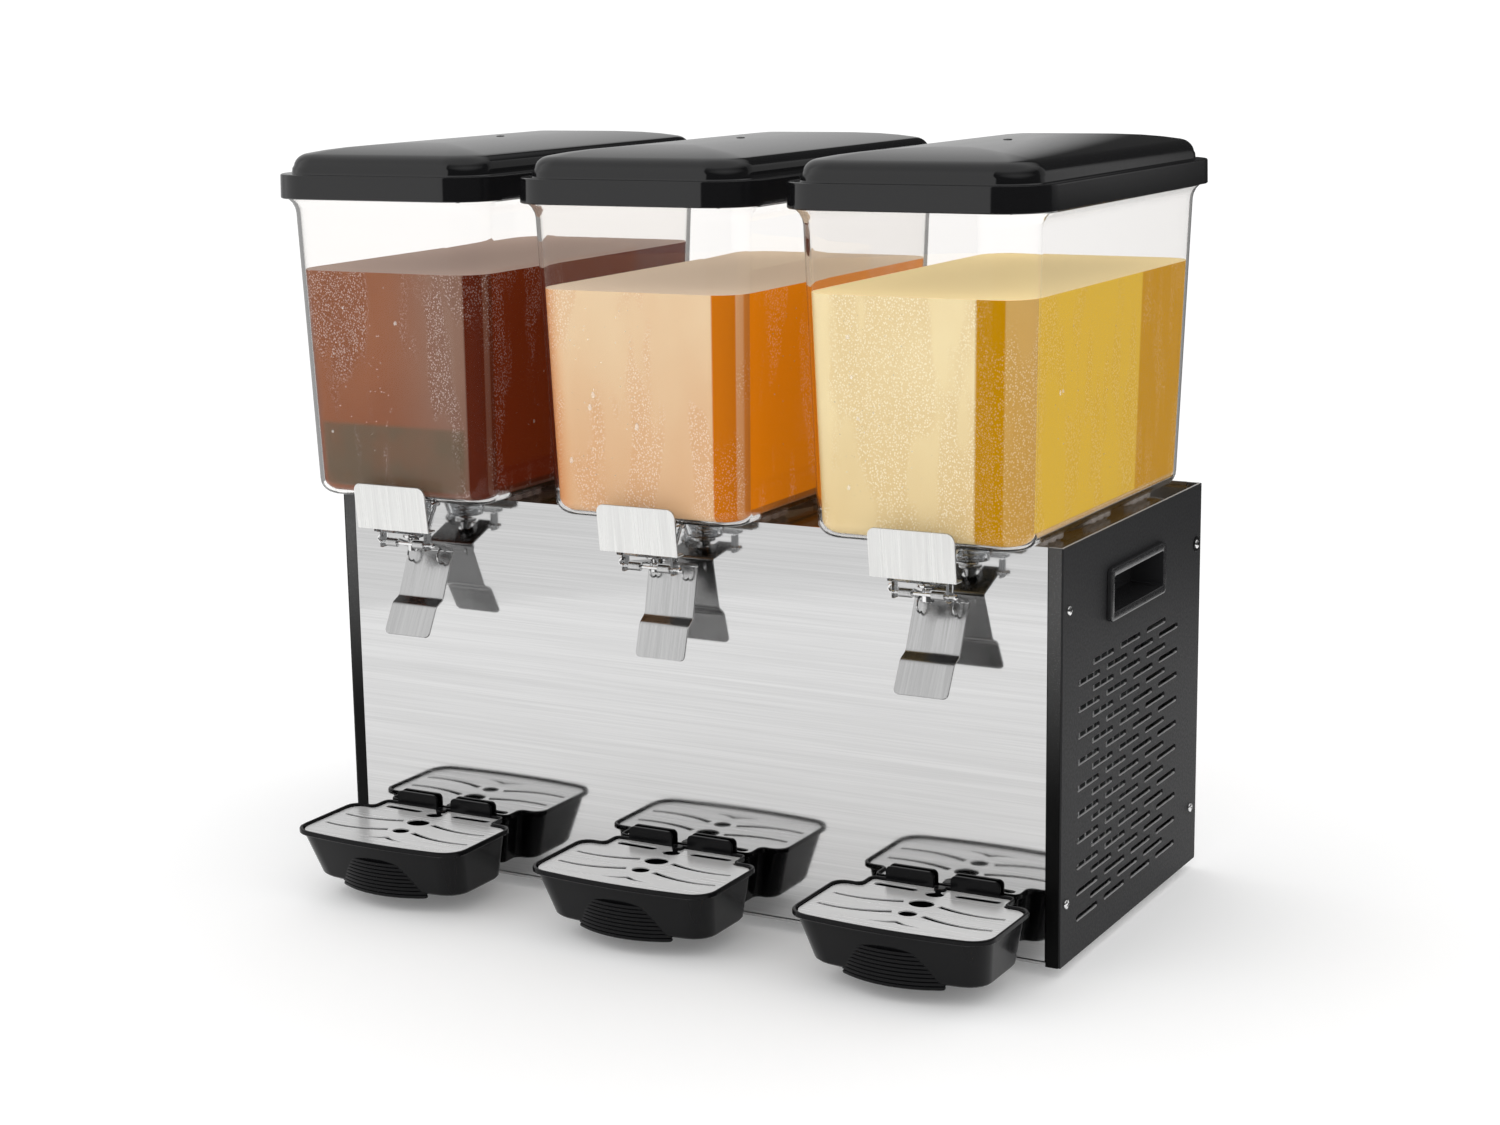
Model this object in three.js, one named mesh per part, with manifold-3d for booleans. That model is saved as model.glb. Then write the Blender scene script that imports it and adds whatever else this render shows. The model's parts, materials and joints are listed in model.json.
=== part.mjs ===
// A refrigerated drink dispenser with three lift-off tanks, each with its own push-lever tap and drip tray.
// Millimetres, +Z up, +X to the right of a person facing the taps, who stands on the -Y side.
// The design coordinates put y = 0 on the front panel and z = 0 on the counter.
import * as THREE from "three";
import { mergeVertices } from "three/addons/utils/BufferGeometryUtils.js";
import Module from "manifold-3d";

const wasm = await Module();
wasm.setup();

// ---- driving dimensions ----
const GAP = 0.3; // clearance kept between touching pieces
const SHEET = 2; // sheet metal
const CABINET_W = 620;
const CABINET_D = 288;
const CABINET_H = 307;
const FOOT_H = 8;
const PITCH = 220; // from one station to the next
const STATIONS = ["left", "middle", "right"];
const ORIGIN_Y = 97; // the middle of the whole object's depth

const CABINET_TOP = FOOT_H + CABINET_H;
const FLANGE_W = 11.3; // what the side panels show at the front
const DECK_TOP = CABINET_TOP - 2.5;
const PANEL_HALF_X = CABINET_W / 2 - FLANGE_W - GAP;
const INNER_HALF_X = CABINET_W / 2 - SHEET - GAP;
const INNER_FRONT = SHEET + GAP;
const INNER_BACK = CABINET_D - SHEET - GAP;

const TANK_FLOOR = CABINET_TOP + 3;
const TANK_WALL = 3;
const TANK_FILLET = 12;
const TANK_WALL_TOP = 538;
const TANK_RIM = 562;
const LID_SKIRT_BOTTOM = 549.5;
const LID_SKIRT_TOP = 568;
const LID_TOP = 589;

const COOLER_Y = 120; // middle of the evaporator and agitator
const COOLER_R = 50;
const COOLER_TOP = TANK_FLOOR + 54;

const TAP_X = 4; // the taps sit a little right of their tanks' middles
const TAP_Y = -36;
const TAP_BRACKET_Z = 293.7;
const PIVOT_Y = -46;
const PIVOT_Z = 284;
const MIDDLE_LEVER_TILT = 12; // degrees that the middle lever is already pushed back
const LIFT_PER_DEGREE = 5 / 30; // how far a lever raises its plunger

const TRAY_RIM_Z = 58;
const TRAY_FLOOR_Z = 16;
const PEG_X = 26; // the tray's pegs, either side of its middle

// ---- materials ----
function finish(color, roughness, metalness, opacity = 1) {
  return new THREE.MeshStandardMaterial({ color, roughness, metalness, opacity, transparent: opacity < 1 });
}
const BLACK_GLOSS = finish(0x121212, 0.25, 0);
const BLACK_SATIN = finish(0x2b2b2b, 0.45, 0.1);
const CLEAR = finish(0xe8eef0, 0.08, 0, 0.3);
const STEEL = finish(0xc9c9c8, 0.3, 1);
const CHROME = finish(0xe2e2e2, 0.08, 1);
const RUBBER = finish(0x3a3a3a, 0.9, 0);
const SILICONE = finish(0xd8d4c8, 0.7, 0);
const WHITE_PLASTIC = finish(0xe6e6e0, 0.5, 0);
const COPPER_BLACK = finish(0x1d1f22, 0.5, 0.3);
const ALUMINIUM = finish(0xb4b6b8, 0.4, 1);

// ---- joining and cutting closed meshes ----
function toSolid(geometry) {
  const bare = geometry.index ? geometry.toNonIndexed() : geometry.clone();
  bare.deleteAttribute("normal");
  bare.deleteAttribute("uv");
  const merged = mergeVertices(bare, 1e-3);
  const mesh = new wasm.Mesh({
    numProp: 3,
    vertProperties: merged.attributes.position.array,
    triVerts: new Uint32Array(merged.index.array),
  });
  return new wasm.Manifold(mesh);
}

function toGeometry(solid) {
  const mesh = solid.getMesh();
  const geometry = new THREE.BufferGeometry();
  geometry.setAttribute("position", new THREE.BufferAttribute(mesh.vertProperties, 3));
  geometry.setIndex(new THREE.BufferAttribute(mesh.triVerts, 1));
  geometry.computeVertexNormals();
  return geometry;
}

function join(...geometries) {
  return toGeometry(geometries.map(toSolid).reduce((whole, piece) => whole.add(piece)));
}

function cut(base, ...tools) {
  return toGeometry(tools.map(toSolid).reduce((left, tool) => left.subtract(tool), toSolid(base)));
}

// ---- basic shapes ----
function box(x, y, z) {
  const size = [x, y, z].map(([low, high]) => high - low);
  const middle = [x, y, z].map(([low, high]) => (low + high) / 2);
  return new THREE.BoxGeometry(...size).translate(...middle);
}

// A cylinder along an axis ("x", "y" or "z"), from start to end, with the other two coordinates in centre.
function rod(axis, radius, [start, end], centre, sides = 16) {
  const geometry = new THREE.CylinderGeometry(radius, radius, end - start, sides);
  const along = (start + end) / 2;
  if (axis === "x") return geometry.rotateZ(-Math.PI / 2).translate(along, centre[0], centre[1]);
  if (axis === "y") return geometry.translate(centre[0], along, centre[1]);
  return geometry.rotateX(Math.PI / 2).translate(centre[0], centre[1], along);
}

// A turned solid: profile points are [radius, z], anticlockwise seen with the axis on the left.
function turned(profile, centre = [0, 0], sides = 24) {
  const points = profile.map(([radius, z]) => new THREE.Vector2(radius, z));
  const geometry = new THREE.LatheGeometry(points, sides);
  return geometry.rotateX(Math.PI / 2).translate(centre[0], centre[1], 0);
}

// A turned ring, whose profile closes on itself.
function ring(profile, centre = [0, 0], sides = 24) {
  return turned([...profile, profile[0]], centre, sides);
}

// A shape in the XZ plane, extruded along +Y from y.
function plateXZ(shape, y, thickness, curveSegments = 6) {
  const options = { depth: thickness, bevelEnabled: false, curveSegments };
  const geometry = new THREE.ExtrudeGeometry(shape, options);
  return geometry.rotateX(Math.PI / 2).translate(0, y + thickness, 0);
}

// A shape whose points are (y, z), extruded along +X from x.
function plateYZ(shape, x, thickness, curveSegments = 6) {
  const options = { depth: thickness, bevelEnabled: false, curveSegments };
  const geometry = new THREE.ExtrudeGeometry(shape, options);
  return geometry.rotateY(Math.PI / 2).rotateX(Math.PI / 2).translate(x, 0, 0);
}

// A level outline whose corners are rounded: corners are [x, y, radius], anticlockwise.
function roundedOutline(corners, steps) {
  const count = corners.length;
  return corners.flatMap(([x, y, radius], i) => {
    const here = new THREE.Vector2(x, y);
    const back = new THREE.Vector2(...corners[(i + count - 1) % count].slice(0, 2)).sub(here).normalize();
    const ahead = new THREE.Vector2(...corners[(i + 1) % count].slice(0, 2)).sub(here).normalize();
    if (!radius) return [here];
    const half = Math.acos(THREE.MathUtils.clamp(back.dot(ahead), -1, 1)) / 2;
    const bisector = back.clone().add(ahead).normalize();
    const centre = here.clone().addScaledVector(bisector, radius / Math.sin(half));
    const first = here.clone().addScaledVector(back, radius / Math.tan(half)).sub(centre).angle();
    const last = here.clone().addScaledVector(ahead, radius / Math.tan(half)).sub(centre).angle();
    const turn = THREE.MathUtils.euclideanModulo(last - first + Math.PI, 2 * Math.PI) - Math.PI;
    return Array.from({ length: steps + 1 }, (_, k) => {
      const angle = first + (turn * k) / steps;
      return new THREE.Vector2(centre.x + radius * Math.cos(angle), centre.y + radius * Math.sin(angle));
    });
  });
}

// A closed skin over level rings of equal point counts: up the outside and down the inside of a cup,
// or down the inside and up the outside of a cap.
function loft(rings) {
  const count = rings[0].points.length;
  const positions = rings.flatMap(({ points, z }) => points.flatMap((p) => [p.x, p.y, z]));
  const index = [];
  for (let r = 0; r + 1 < rings.length; r++) {
    for (let i = 0; i < count; i++) {
      const a = r * count + i;
      const b = r * count + ((i + 1) % count);
      index.push(a, b, b + count, a, b + count, a + count);
    }
  }
  const last = (rings.length - 1) * count;
  for (const [a, b, c] of THREE.ShapeUtils.triangulateShape(rings[0].points, [])) index.push(a, c, b);
  for (const [a, b, c] of THREE.ShapeUtils.triangulateShape(rings.at(-1).points, [])) {
    index.push(last + a, last + b, last + c);
  }
  const geometry = new THREE.BufferGeometry();
  geometry.setAttribute("position", new THREE.Float32BufferAttribute(positions, 3));
  geometry.setIndex(index);
  geometry.computeVertexNormals();
  return geometry;
}

// A rounded rectangle centred on x = 0 and shrunk by inset, at height z.
function level({ halfX, front, back, radius }, z, inset = 0, steps = 3) {
  const x = halfX - inset;
  const r = Math.max(radius - inset, 4);
  const corners = [
    [x, back - inset, r],
    [-x, back - inset, r],
    [-x, front + inset, r],
    [x, front + inset, r],
  ];
  return { points: roundedOutline(corners, steps), z };
}

// ---- the object ----
const machine = new THREE.Group();
const stationX = (station) => (STATIONS.indexOf(station) - 1) * PITCH;

function place(name, geometry, material, x = 0, parent = machine) {
  const mesh = new THREE.Mesh(geometry, material);
  mesh.name = name;
  mesh.position.x = x;
  parent.add(mesh);
  return mesh;
}

// ---- tanks and lids ----
const TANK_LOW = { halfX: 83, front: -53, back: 268, radius: 24 };
const TANK_HIGH = { halfX: 88.5, front: -62, back: 281, radius: 27 };
const TANK_FLARE = { halfX: 94.5, front: -68, back: 287, radius: 32 };
const LID_SKIRT = { halfX: 99, front: -72, back: 291, radius: 35 };

function makeTank() {
  const wallLow = TANK_FLOOR + TANK_FILLET;
  const shell = loft([
    level(TANK_LOW, TANK_FLOOR, TANK_FILLET),
    level(TANK_LOW, TANK_FLOOR + 3.5, 3.5),
    level(TANK_LOW, wallLow),
    level(TANK_HIGH, TANK_WALL_TOP),
    level(TANK_FLARE, LID_SKIRT_BOTTOM),
    level(TANK_FLARE, TANK_RIM),
    level(TANK_FLARE, TANK_RIM, TANK_WALL),
    level(TANK_FLARE, LID_SKIRT_BOTTOM, TANK_WALL),
    level(TANK_HIGH, TANK_WALL_TOP, TANK_WALL),
    level(TANK_LOW, wallLow, TANK_WALL),
    level(TANK_LOW, TANK_FLOOR + TANK_WALL, TANK_FILLET),
  ]);
  const ribs = [-1, 1].flatMap((side) =>
    [[4, 34], [180, 225]].map((alongY) => {
      const alongX = side < 0 ? [-69, -66] : [66, 69];
      return box(alongX, alongY, [DECK_TOP + GAP, TANK_FLOOR + 1]);
    }),
  );
  const coolerHole = rod("z", COOLER_R + 3, [TANK_FLOOR - 5, TANK_FLOOR + 8], [0, COOLER_Y], 32);
  const tapHole = rod("z", 8, [TANK_FLOOR - 5, TANK_FLOOR + 8], [TAP_X, TAP_Y], 16);
  return cut(join(shell, ...ribs), coolerHole, tapHole);
}

// The lid's inner ledge rests on the tank's rim, and its dome swells from a step inside the skirt.
function makeLid() {
  const ledge = TANK_RIM + GAP;
  return loft([
    level(LID_SKIRT, LID_TOP - 8, 36),
    level(LID_SKIRT, LID_TOP - 9, 20),
    level(LID_SKIRT, ledge, 12.5),
    level(LID_SKIRT, ledge, 3),
    level(LID_SKIRT, LID_SKIRT_BOTTOM, 3),
    level(LID_SKIRT, LID_SKIRT_BOTTOM),
    level(LID_SKIRT, LID_SKIRT_TOP),
    level(LID_SKIRT, LID_SKIRT_TOP + 0.5, 9.5),
    level(LID_SKIRT, LID_SKIRT_TOP + 6, 10),
    level(LID_SKIRT, LID_SKIRT_TOP + 12, 13.5),
    level(LID_SKIRT, LID_SKIRT_TOP + 15, 20),
    level(LID_SKIRT, LID_SKIRT_TOP + 18.5, 45),
    level(LID_SKIRT, LID_TOP, 80),
  ]);
}

// ---- cooling and stirring inside each tank ----
function makeEvaporator() {
  const foot = DECK_TOP + GAP;
  const wall = 1.5;
  return turned(
    [
      [0, COOLER_TOP - wall],
      [COOLER_R - 6, COOLER_TOP - wall],
      [COOLER_R - wall, COOLER_TOP - 7],
      [COOLER_R - wall, foot],
      [COOLER_R, foot],
      [COOLER_R, COOLER_TOP - 6],
      [COOLER_R - 6, COOLER_TOP],
      [3, COOLER_TOP],
      [3, COOLER_TOP + 13],
      [0, COOLER_TOP + 13],
    ],
    [0, COOLER_Y],
    32,
  );
}

function makeSeal() {
  const foot = DECK_TOP + GAP;
  return ring(
    [
      [COOLER_R + GAP, foot],
      [COOLER_R + 10, foot],
      [COOLER_R + 10, TANK_FLOOR - GAP],
      [COOLER_R + 2.6, TANK_FLOOR - GAP],
      [COOLER_R + 2.6, TANK_FLOOR + 6],
      [COOLER_R + GAP, TANK_FLOOR + 6],
    ],
    [0, COOLER_Y],
    32,
  );
}

function makeAgitator() {
  const low = COOLER_TOP + 1;
  const hub = rod("z", 12, [low, low + 14], [0, 0], 16);
  const blades = [0, 1, 2, 3].map((quarter) =>
    box([9, 38], [-1.5, 1.5], [low + 1, low + 11]).rotateZ((quarter * Math.PI) / 2),
  );
  const bore = rod("z", 3.4, [low - 1, low + 15], [0, 0], 12);
  return cut(join(hub, ...blades), bore).translate(0, COOLER_Y, 0);
}

function makeAgitatorMotor() {
  const top = DECK_TOP - SHEET - GAP;
  const profile = [[0, -46], [26, -46], [28, -43], [28, -3], [34, -3], [34, 0], [0, 0]];
  return turned(profile, [0, COOLER_Y]).translate(0, 0, top);
}

// ---- taps ----
const SPOUT_TOP = TANK_FLOOR - GAP;
const SPRING_BAR_Z = TAP_BRACKET_Z + 12.6;
const SPOUT_BORE = 10.2;

// The clear cone under the tank, with a bracket plate and two lugs for the lever's pin.
function makeSpout() {
  const cone = ring(
    [
      [SPOUT_BORE, TAP_BRACKET_Z],
      [14, TAP_BRACKET_Z],
      [19.5, SPOUT_TOP - 6],
      [19.5, SPOUT_TOP],
      [15.5, SPOUT_TOP],
      [15.5, SPOUT_TOP - 6],
    ],
    [0, TAP_Y],
  );
  const bracket = box([-22, 22], [-57, -26], [TAP_BRACKET_Z, TAP_BRACKET_Z + 3]);
  const bore = rod("z", SPOUT_BORE, [TAP_BRACKET_Z - 1, TAP_BRACKET_Z + 4], [0, TAP_Y], 24);
  const lugs = [-1, 1].map((side) => {
    const alongX = side < 0 ? [-22, -19.5] : [19.5, 22];
    return box(alongX, [PIVOT_Y - 4, PIVOT_Y + 4], [PIVOT_Z - 4, TAP_BRACKET_Z + 1]);
  });
  const springBar = box([-16, 16], [TAP_Y - 2, TAP_Y + 2], [SPRING_BAR_Z, SPRING_BAR_Z + 3]);
  const pinHole = rod("x", 2.1, [-23, 23], [PIVOT_Y, PIVOT_Z], 12);
  return cut(join(cone, cut(bracket, bore), springBar, ...lugs), pinHole);
}

// The front plate leans out at the top, and its folded lip sits on the spout's bracket.
function makeTapPlate() {
  const halfWidth = 33;
  const height = 36;
  const corner = 6;
  const face = new THREE.Shape();
  face.moveTo(-halfWidth, 0);
  face.lineTo(halfWidth, 0);
  face.lineTo(halfWidth, height - corner);
  face.absarc(halfWidth - corner, height - corner, corner, 0, Math.PI / 2);
  face.lineTo(-halfWidth + corner, height);
  face.absarc(-halfWidth + corner, height - corner, corner, Math.PI / 2, Math.PI);
  const lean = THREE.MathUtils.degToRad(7);
  const lipZ = TAP_BRACKET_Z + 3 + GAP;
  const plate = plateXZ(face, 0, 1.6, 4).rotateX(lean).translate(0, -62, lipZ);
  const lip = box([-halfWidth, halfWidth], [-61.8, -52.5], [lipZ, lipZ + 1.6]);
  return join(plate, lip);
}

// A sheet of even thickness that follows a bent line of (y, z) points, from x = -halfX to halfX.
function bentSheet(points, thickness, halfX) {
  const line = points.map(([y, z]) => new THREE.Vector2(y, z));
  const normalAt = (i) => {
    const along = line[i + 1].clone().sub(line[i]).normalize();
    return new THREE.Vector2(-along.y, along.x);
  };
  const offset = (side) =>
    line.map((point, i) => {
      const before = normalAt(Math.max(i - 1, 0));
      const after = normalAt(Math.min(i, line.length - 2));
      const miter = before.clone().add(after).normalize();
      return point.clone().addScaledVector(miter, (side * thickness) / 2 / miter.dot(before));
    });
  return plateYZ(new THREE.Shape([...offset(1), ...offset(-1).reverse()]), -halfX, 2 * halfX);
}

// One bent sheet: the web under the spout, the upper plate, a jog and the paddle, with an ear on each side.
function makeLever() {
  const thickness = 1.8;
  const line = [[-46, 286.95], [-12.5, 274], [-29, 237.5], [-38, 233.5], [-50, 211.5]];
  const sheet = bentSheet(line, thickness, 21);
  const ears = [-14, 14].map((x) => rod("x", 6.5, [x - 0.8, x + 0.8], [-19, 270], 16));
  const barrel = rod("x", 4, [-17, 17], [PIVOT_Y, PIVOT_Z], 16);
  const lugSlots = [-1, 1].map((side) => {
    const alongX = side < 0 ? [-22.8, -18.7] : [18.7, 22.8];
    return box(alongX, [PIVOT_Y - 9, PIVOT_Y + 8], [PIVOT_Z - 12, PIVOT_Z + 20]);
  });
  const bore = rod("x", 2.1, [-22, 22], [PIVOT_Y, PIVOT_Z], 12);
  const plungerHole = rod("z", 6.3, [PIVOT_Z - 14, PIVOT_Z + 14], [0, TAP_Y], 16);
  return cut(join(sheet, barrel, ...ears), bore, plungerHole, ...lugSlots);
}

function makePin() {
  const profile = [[0, -26], [1.8, -26], [1.8, 24], [3.6, 24.5], [3.6, 27.5], [2, 29], [0, 29]];
  const points = profile.map(([radius, along]) => new THREE.Vector2(radius, along));
  return new THREE.LatheGeometry(points, 12).rotateZ(-Math.PI / 2).translate(0, PIVOT_Y, PIVOT_Z);
}

// The hollow outlet tube, whose collar the lever lifts against the spring.
const COLLAR_Z = 287.9;
const COLLAR_H = 2;
function makePlunger() {
  return turned(
    [
      [0, COLLAR_Z - 5],
      [3.4, COLLAR_Z - 5],
      [3.4, COLLAR_Z - 11],
      [4.5, COLLAR_Z - 11],
      [4.5, COLLAR_Z],
      [8.4, COLLAR_Z],
      [8.4, COLLAR_Z + COLLAR_H],
      [2.5, COLLAR_Z + COLLAR_H],
      [2.5, COLLAR_Z + 12],
      [0, COLLAR_Z + 12],
    ],
    [0, TAP_Y],
    16,
  );
}

class Helix extends THREE.Curve {
  constructor(radius, turns, low, high) {
    super();
    Object.assign(this, { radius, turns, low, high });
  }

  getPoint(t, target = new THREE.Vector3()) {
    const angle = t * this.turns * 2 * Math.PI;
    const z = THREE.MathUtils.lerp(this.low, this.high, t);
    return target.set(this.radius * Math.cos(angle), TAP_Y + this.radius * Math.sin(angle), z);
  }
}

function makeSpring(lift) {
  const wireRadius = 0.7;
  const low = COLLAR_Z + COLLAR_H + lift + wireRadius + GAP;
  const high = SPRING_BAR_Z - wireRadius - GAP;
  const wire = new THREE.Shape().absarc(0, 0, wireRadius, 0, 2 * Math.PI);
  const extrudePath = new Helix(6, 4.5, low, high);
  return new THREE.ExtrudeGeometry(wire, { extrudePath, steps: 36, curveSegments: 3 });
}

// ---- drip trays ----
// The tray's outline in plan: a broad front with bowed face, shoulders, and a narrower tongue at the back.
function trayOutline(inset, draft = 0) {
  const mainX = 78 - inset - draft * 0.55;
  const tongueX = 58 - inset - draft * 0.3;
  const front = -101 + inset + draft;
  const bow = 6;
  const corners = [
    [tongueX, -1.5 - inset, Math.max(6 - inset, 1.5)],
    [-tongueX, -1.5 - inset, Math.max(6 - inset, 1.5)],
    [-tongueX, -20 - inset, 5],
    [-mainX, -20 - inset, 10],
    [-mainX, front, 17],
    [-mainX / 2, front - bow * 0.8, 0],
    [0, front - bow, 0],
    [mainX / 2, front - bow * 0.8, 0],
    [mainX, front, 17],
    [mainX, -20 - inset, 10],
    [tongueX, -20 - inset, 5],
  ];
  return roundedOutline(corners, 2);
}

function makeTray() {
  const wall = 2.5;
  const draft = 16;
  const shell = loft([
    { points: trayOutline(4, draft), z: TRAY_FLOOR_Z },
    { points: trayOutline(2, draft - 2), z: TRAY_FLOOR_Z + 3 },
    { points: trayOutline(3, 0), z: TRAY_RIM_Z - 5 },
    { points: trayOutline(0, 0), z: TRAY_RIM_Z - 4 },
    { points: trayOutline(0, 0), z: TRAY_RIM_Z },
    { points: trayOutline(2, 0), z: TRAY_RIM_Z },
    { points: trayOutline(2.4, 0), z: TRAY_RIM_Z - 3.5 },
    { points: trayOutline(3 + wall, 0), z: TRAY_RIM_Z - 3.5 },
    { points: trayOutline(2 + wall, draft - 2), z: TRAY_FLOOR_Z + 5 },
    { points: trayOutline(4 + wall, draft), z: TRAY_FLOOR_Z + wall },
  ]);
  const tabs = [-1, 1].flatMap((side) => {
    const middle = side * PEG_X;
    const tab = box([middle - 19.5, middle + 19.5], [-4.8, -2], [TRAY_RIM_Z - 6, TRAY_RIM_Z + 9.5]);
    const peg = box([middle - 13, middle + 13], [-4, 8], [TRAY_RIM_Z + 3, TRAY_RIM_Z + 5.4]);
    return [tab, peg];
  });
  return join(shell, makeTrayGrip(), ...tabs);
}

// Where the tray's sloping front wall is, at u from its middle and height z.
function trayWallY(u, z) {
  const bow = 6 * (1 - (u / 78) ** 2);
  return -85 - bow - (13 * (z - TRAY_FLOOR_Z - 3)) / 34;
}

// The finger grip: an upright curved face that the sloping front wall meets in an arch.
function makeTrayGrip() {
  const radius = 81;
  const steps = 10;
  const section = (z, front) => {
    const face = (u) => front + radius - Math.sqrt(radius * radius - u * u);
    let half = 4;
    while (half < 46 && face(half) < trayWallY(half, Math.max(z, TRAY_FLOOR_Z)) + 1.2) half += 0.25;
    const arc = Array.from({ length: steps + 1 }, (_, i) => {
      const u = half * ((2 * i) / steps - 1);
      return new THREE.Vector2(u, face(u));
    });
    const back = face(half) + 2;
    return { points: [...arc, new THREE.Vector2(half, back), new THREE.Vector2(-half, back)], z };
  };
  const levels = [-3.4, 4, 11, 18, 25.5].map((up) => TRAY_FLOOR_Z + up);
  return loft(levels.map((z, i) => section(z, -97.2 - (4.6 * i) / (levels.length - 1))));
}

function ellipseHole(x, y, radiusX, radiusY) {
  return new THREE.Path().absellipse(x, y, radiusX, radiusY, 0, 2 * Math.PI);
}

// A slot that follows a bent centre line from [x, y] to [x, y], with a half width at each end.
function bentSlot(from, middle, to, halfWidths) {
  const centre = new THREE.QuadraticBezierCurve(
    new THREE.Vector2(...from), new THREE.Vector2(...middle), new THREE.Vector2(...to));
  const side = (sign) =>
    [0, 0.25, 0.5, 0.75, 1].map((t) => {
      const tangent = centre.getTangent(t);
      const half = THREE.MathUtils.lerp(halfWidths[0], halfWidths[1], t) * sign;
      return centre.getPoint(t).add(new THREE.Vector2(-tangent.y, tangent.x).multiplyScalar(half));
    });
  return new THREE.Path([...side(1), ...side(-1).reverse()]);
}

function makeGrate() {
  const plate = new THREE.Shape(trayOutline(4.2));
  plate.holes.push(
    ellipseHole(0, -17, 7, 6),
    ellipseHole(0, -39.5, 9.5, 8),
    ellipseHole(0, -63, 7, 6),
  );
  for (const side of [-1, 1]) {
    plate.holes.push(
      bentSlot([side * 15, -13.5], [side * 33, -11], [side * 50, -13.5], [3.4, 3.4]),
      bentSlot([side * 14, -40], [side * 40, -50], [side * 67, -45], [2.4, 1.6]),
      bentSlot([side * 12, -64], [side * 40, -76], [side * 68, -70], [2.4, 1.6]),
      bentSlot([side * 2.5, -83], [side * 9, -86.5], [side * 21, -86.5], [2.2, 0.5]),
    );
  }
  const options = { depth: 1.2, bevelEnabled: false, curveSegments: 5 };
  return new THREE.ExtrudeGeometry(plate, options).translate(0, 0, TRAY_RIM_Z - 3.2);
}

for (const station of STATIONS) {
  const x = stationX(station);
  place(`${station}_tank`, makeTank(), CLEAR, x);
  place(`${station}_lid`, makeLid(), BLACK_GLOSS, x);
  place(`${station}_evaporator`, makeEvaporator(), STEEL, x);
  place(`${station}_tank_seal`, makeSeal(), SILICONE, x);
  place(`${station}_agitator`, makeAgitator(), WHITE_PLASTIC, x);
  place(`${station}_agitator_motor`, makeAgitatorMotor(), BLACK_SATIN, x);
  place(`${station}_tap_spout`, makeSpout(), CLEAR, x + TAP_X);
  place(`${station}_tap_plate`, makeTapPlate(), STEEL, x + TAP_X);
  place(`${station}_tap_pin`, makePin(), CHROME, x + TAP_X);
  place(`${station}_drip_tray`, makeTray(), BLACK_GLOSS, x);
  place(`${station}_drip_grate`, makeGrate(), STEEL, x);

  // The middle lever hangs part way back, turned about its pin, and holds its plunger up a little.
  const tilt = station === "middle" ? MIDDLE_LEVER_TILT : 0;
  const lift = tilt * LIFT_PER_DEGREE;
  place(`${station}_tap_plunger`, makePlunger().translate(0, 0, lift), CHROME, x + TAP_X);
  place(`${station}_tap_spring`, makeSpring(lift), CHROME, x + TAP_X);
  const pivot = new THREE.Group();
  pivot.position.set(x + TAP_X, PIVOT_Y, PIVOT_Z);
  pivot.rotation.x = THREE.MathUtils.degToRad(tilt);
  machine.add(pivot);
  place(`${station}_tap_lever`, makeLever().translate(0, -PIVOT_Y, -PIVOT_Z), STEEL, 0, pivot);
}

// ---- cabinet sheet metal ----
const SLOT = { length: 42, height: 4.4, pitchY: 55, pitchZ: 19.5, firstY: 52, firstZ: 35.8 };
const HAND_HOLE = { front: 89, back: 194, bottom: 249, top: 281 };

// Louvre slots in staggered rows: four, then three set half a pitch back, ten times over.
function louvreSlots() {
  const slots = [];
  for (let row = 0; row < 10; row++) {
    const z = SLOT.firstZ + row * SLOT.pitchZ;
    for (let i = 0; i < 4; i++) slots.push([SLOT.firstY + i * SLOT.pitchY, z]);
    for (let i = 0; i < 3; i++) slots.push([SLOT.firstY + (i + 0.5) * SLOT.pitchY, z + SLOT.pitchZ / 2]);
  }
  return slots;
}

function slotCutter([y, z]) {
  const straight = SLOT.length / 2 - SLOT.height / 2;
  const half = SLOT.height / 2;
  const outline = new THREE.Shape([
    new THREE.Vector2(y - straight, z - half),
    new THREE.Vector2(y + straight, z - half),
    new THREE.Vector2(y + straight + half, z),
    new THREE.Vector2(y + straight, z + half),
    new THREE.Vector2(y - straight, z + half),
    new THREE.Vector2(y - straight - half, z),
  ]);
  return plateYZ(outline, CABINET_W / 2 - 2 * SHEET, 3 * SHEET);
}

function makeRightPanel() {
  const outer = CABINET_W / 2;
  const skin = box([outer - SHEET, outer], [0, CABINET_D], [FOOT_H, CABINET_TOP]);
  const flanges = [[0, SHEET], [CABINET_D - SHEET, CABINET_D]].map((alongY) =>
    box([outer - FLANGE_W, outer - SHEET / 2], alongY, [FOOT_H, CABINET_TOP]),
  );
  const handHole = box(
    [outer - 2 * SHEET, outer + SHEET],
    [HAND_HOLE.front, HAND_HOLE.back],
    [HAND_HOLE.bottom, HAND_HOLE.top],
  );
  return cut(join(skin, ...flanges), handHole, ...louvreSlots().map(slotCutter));
}

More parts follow.
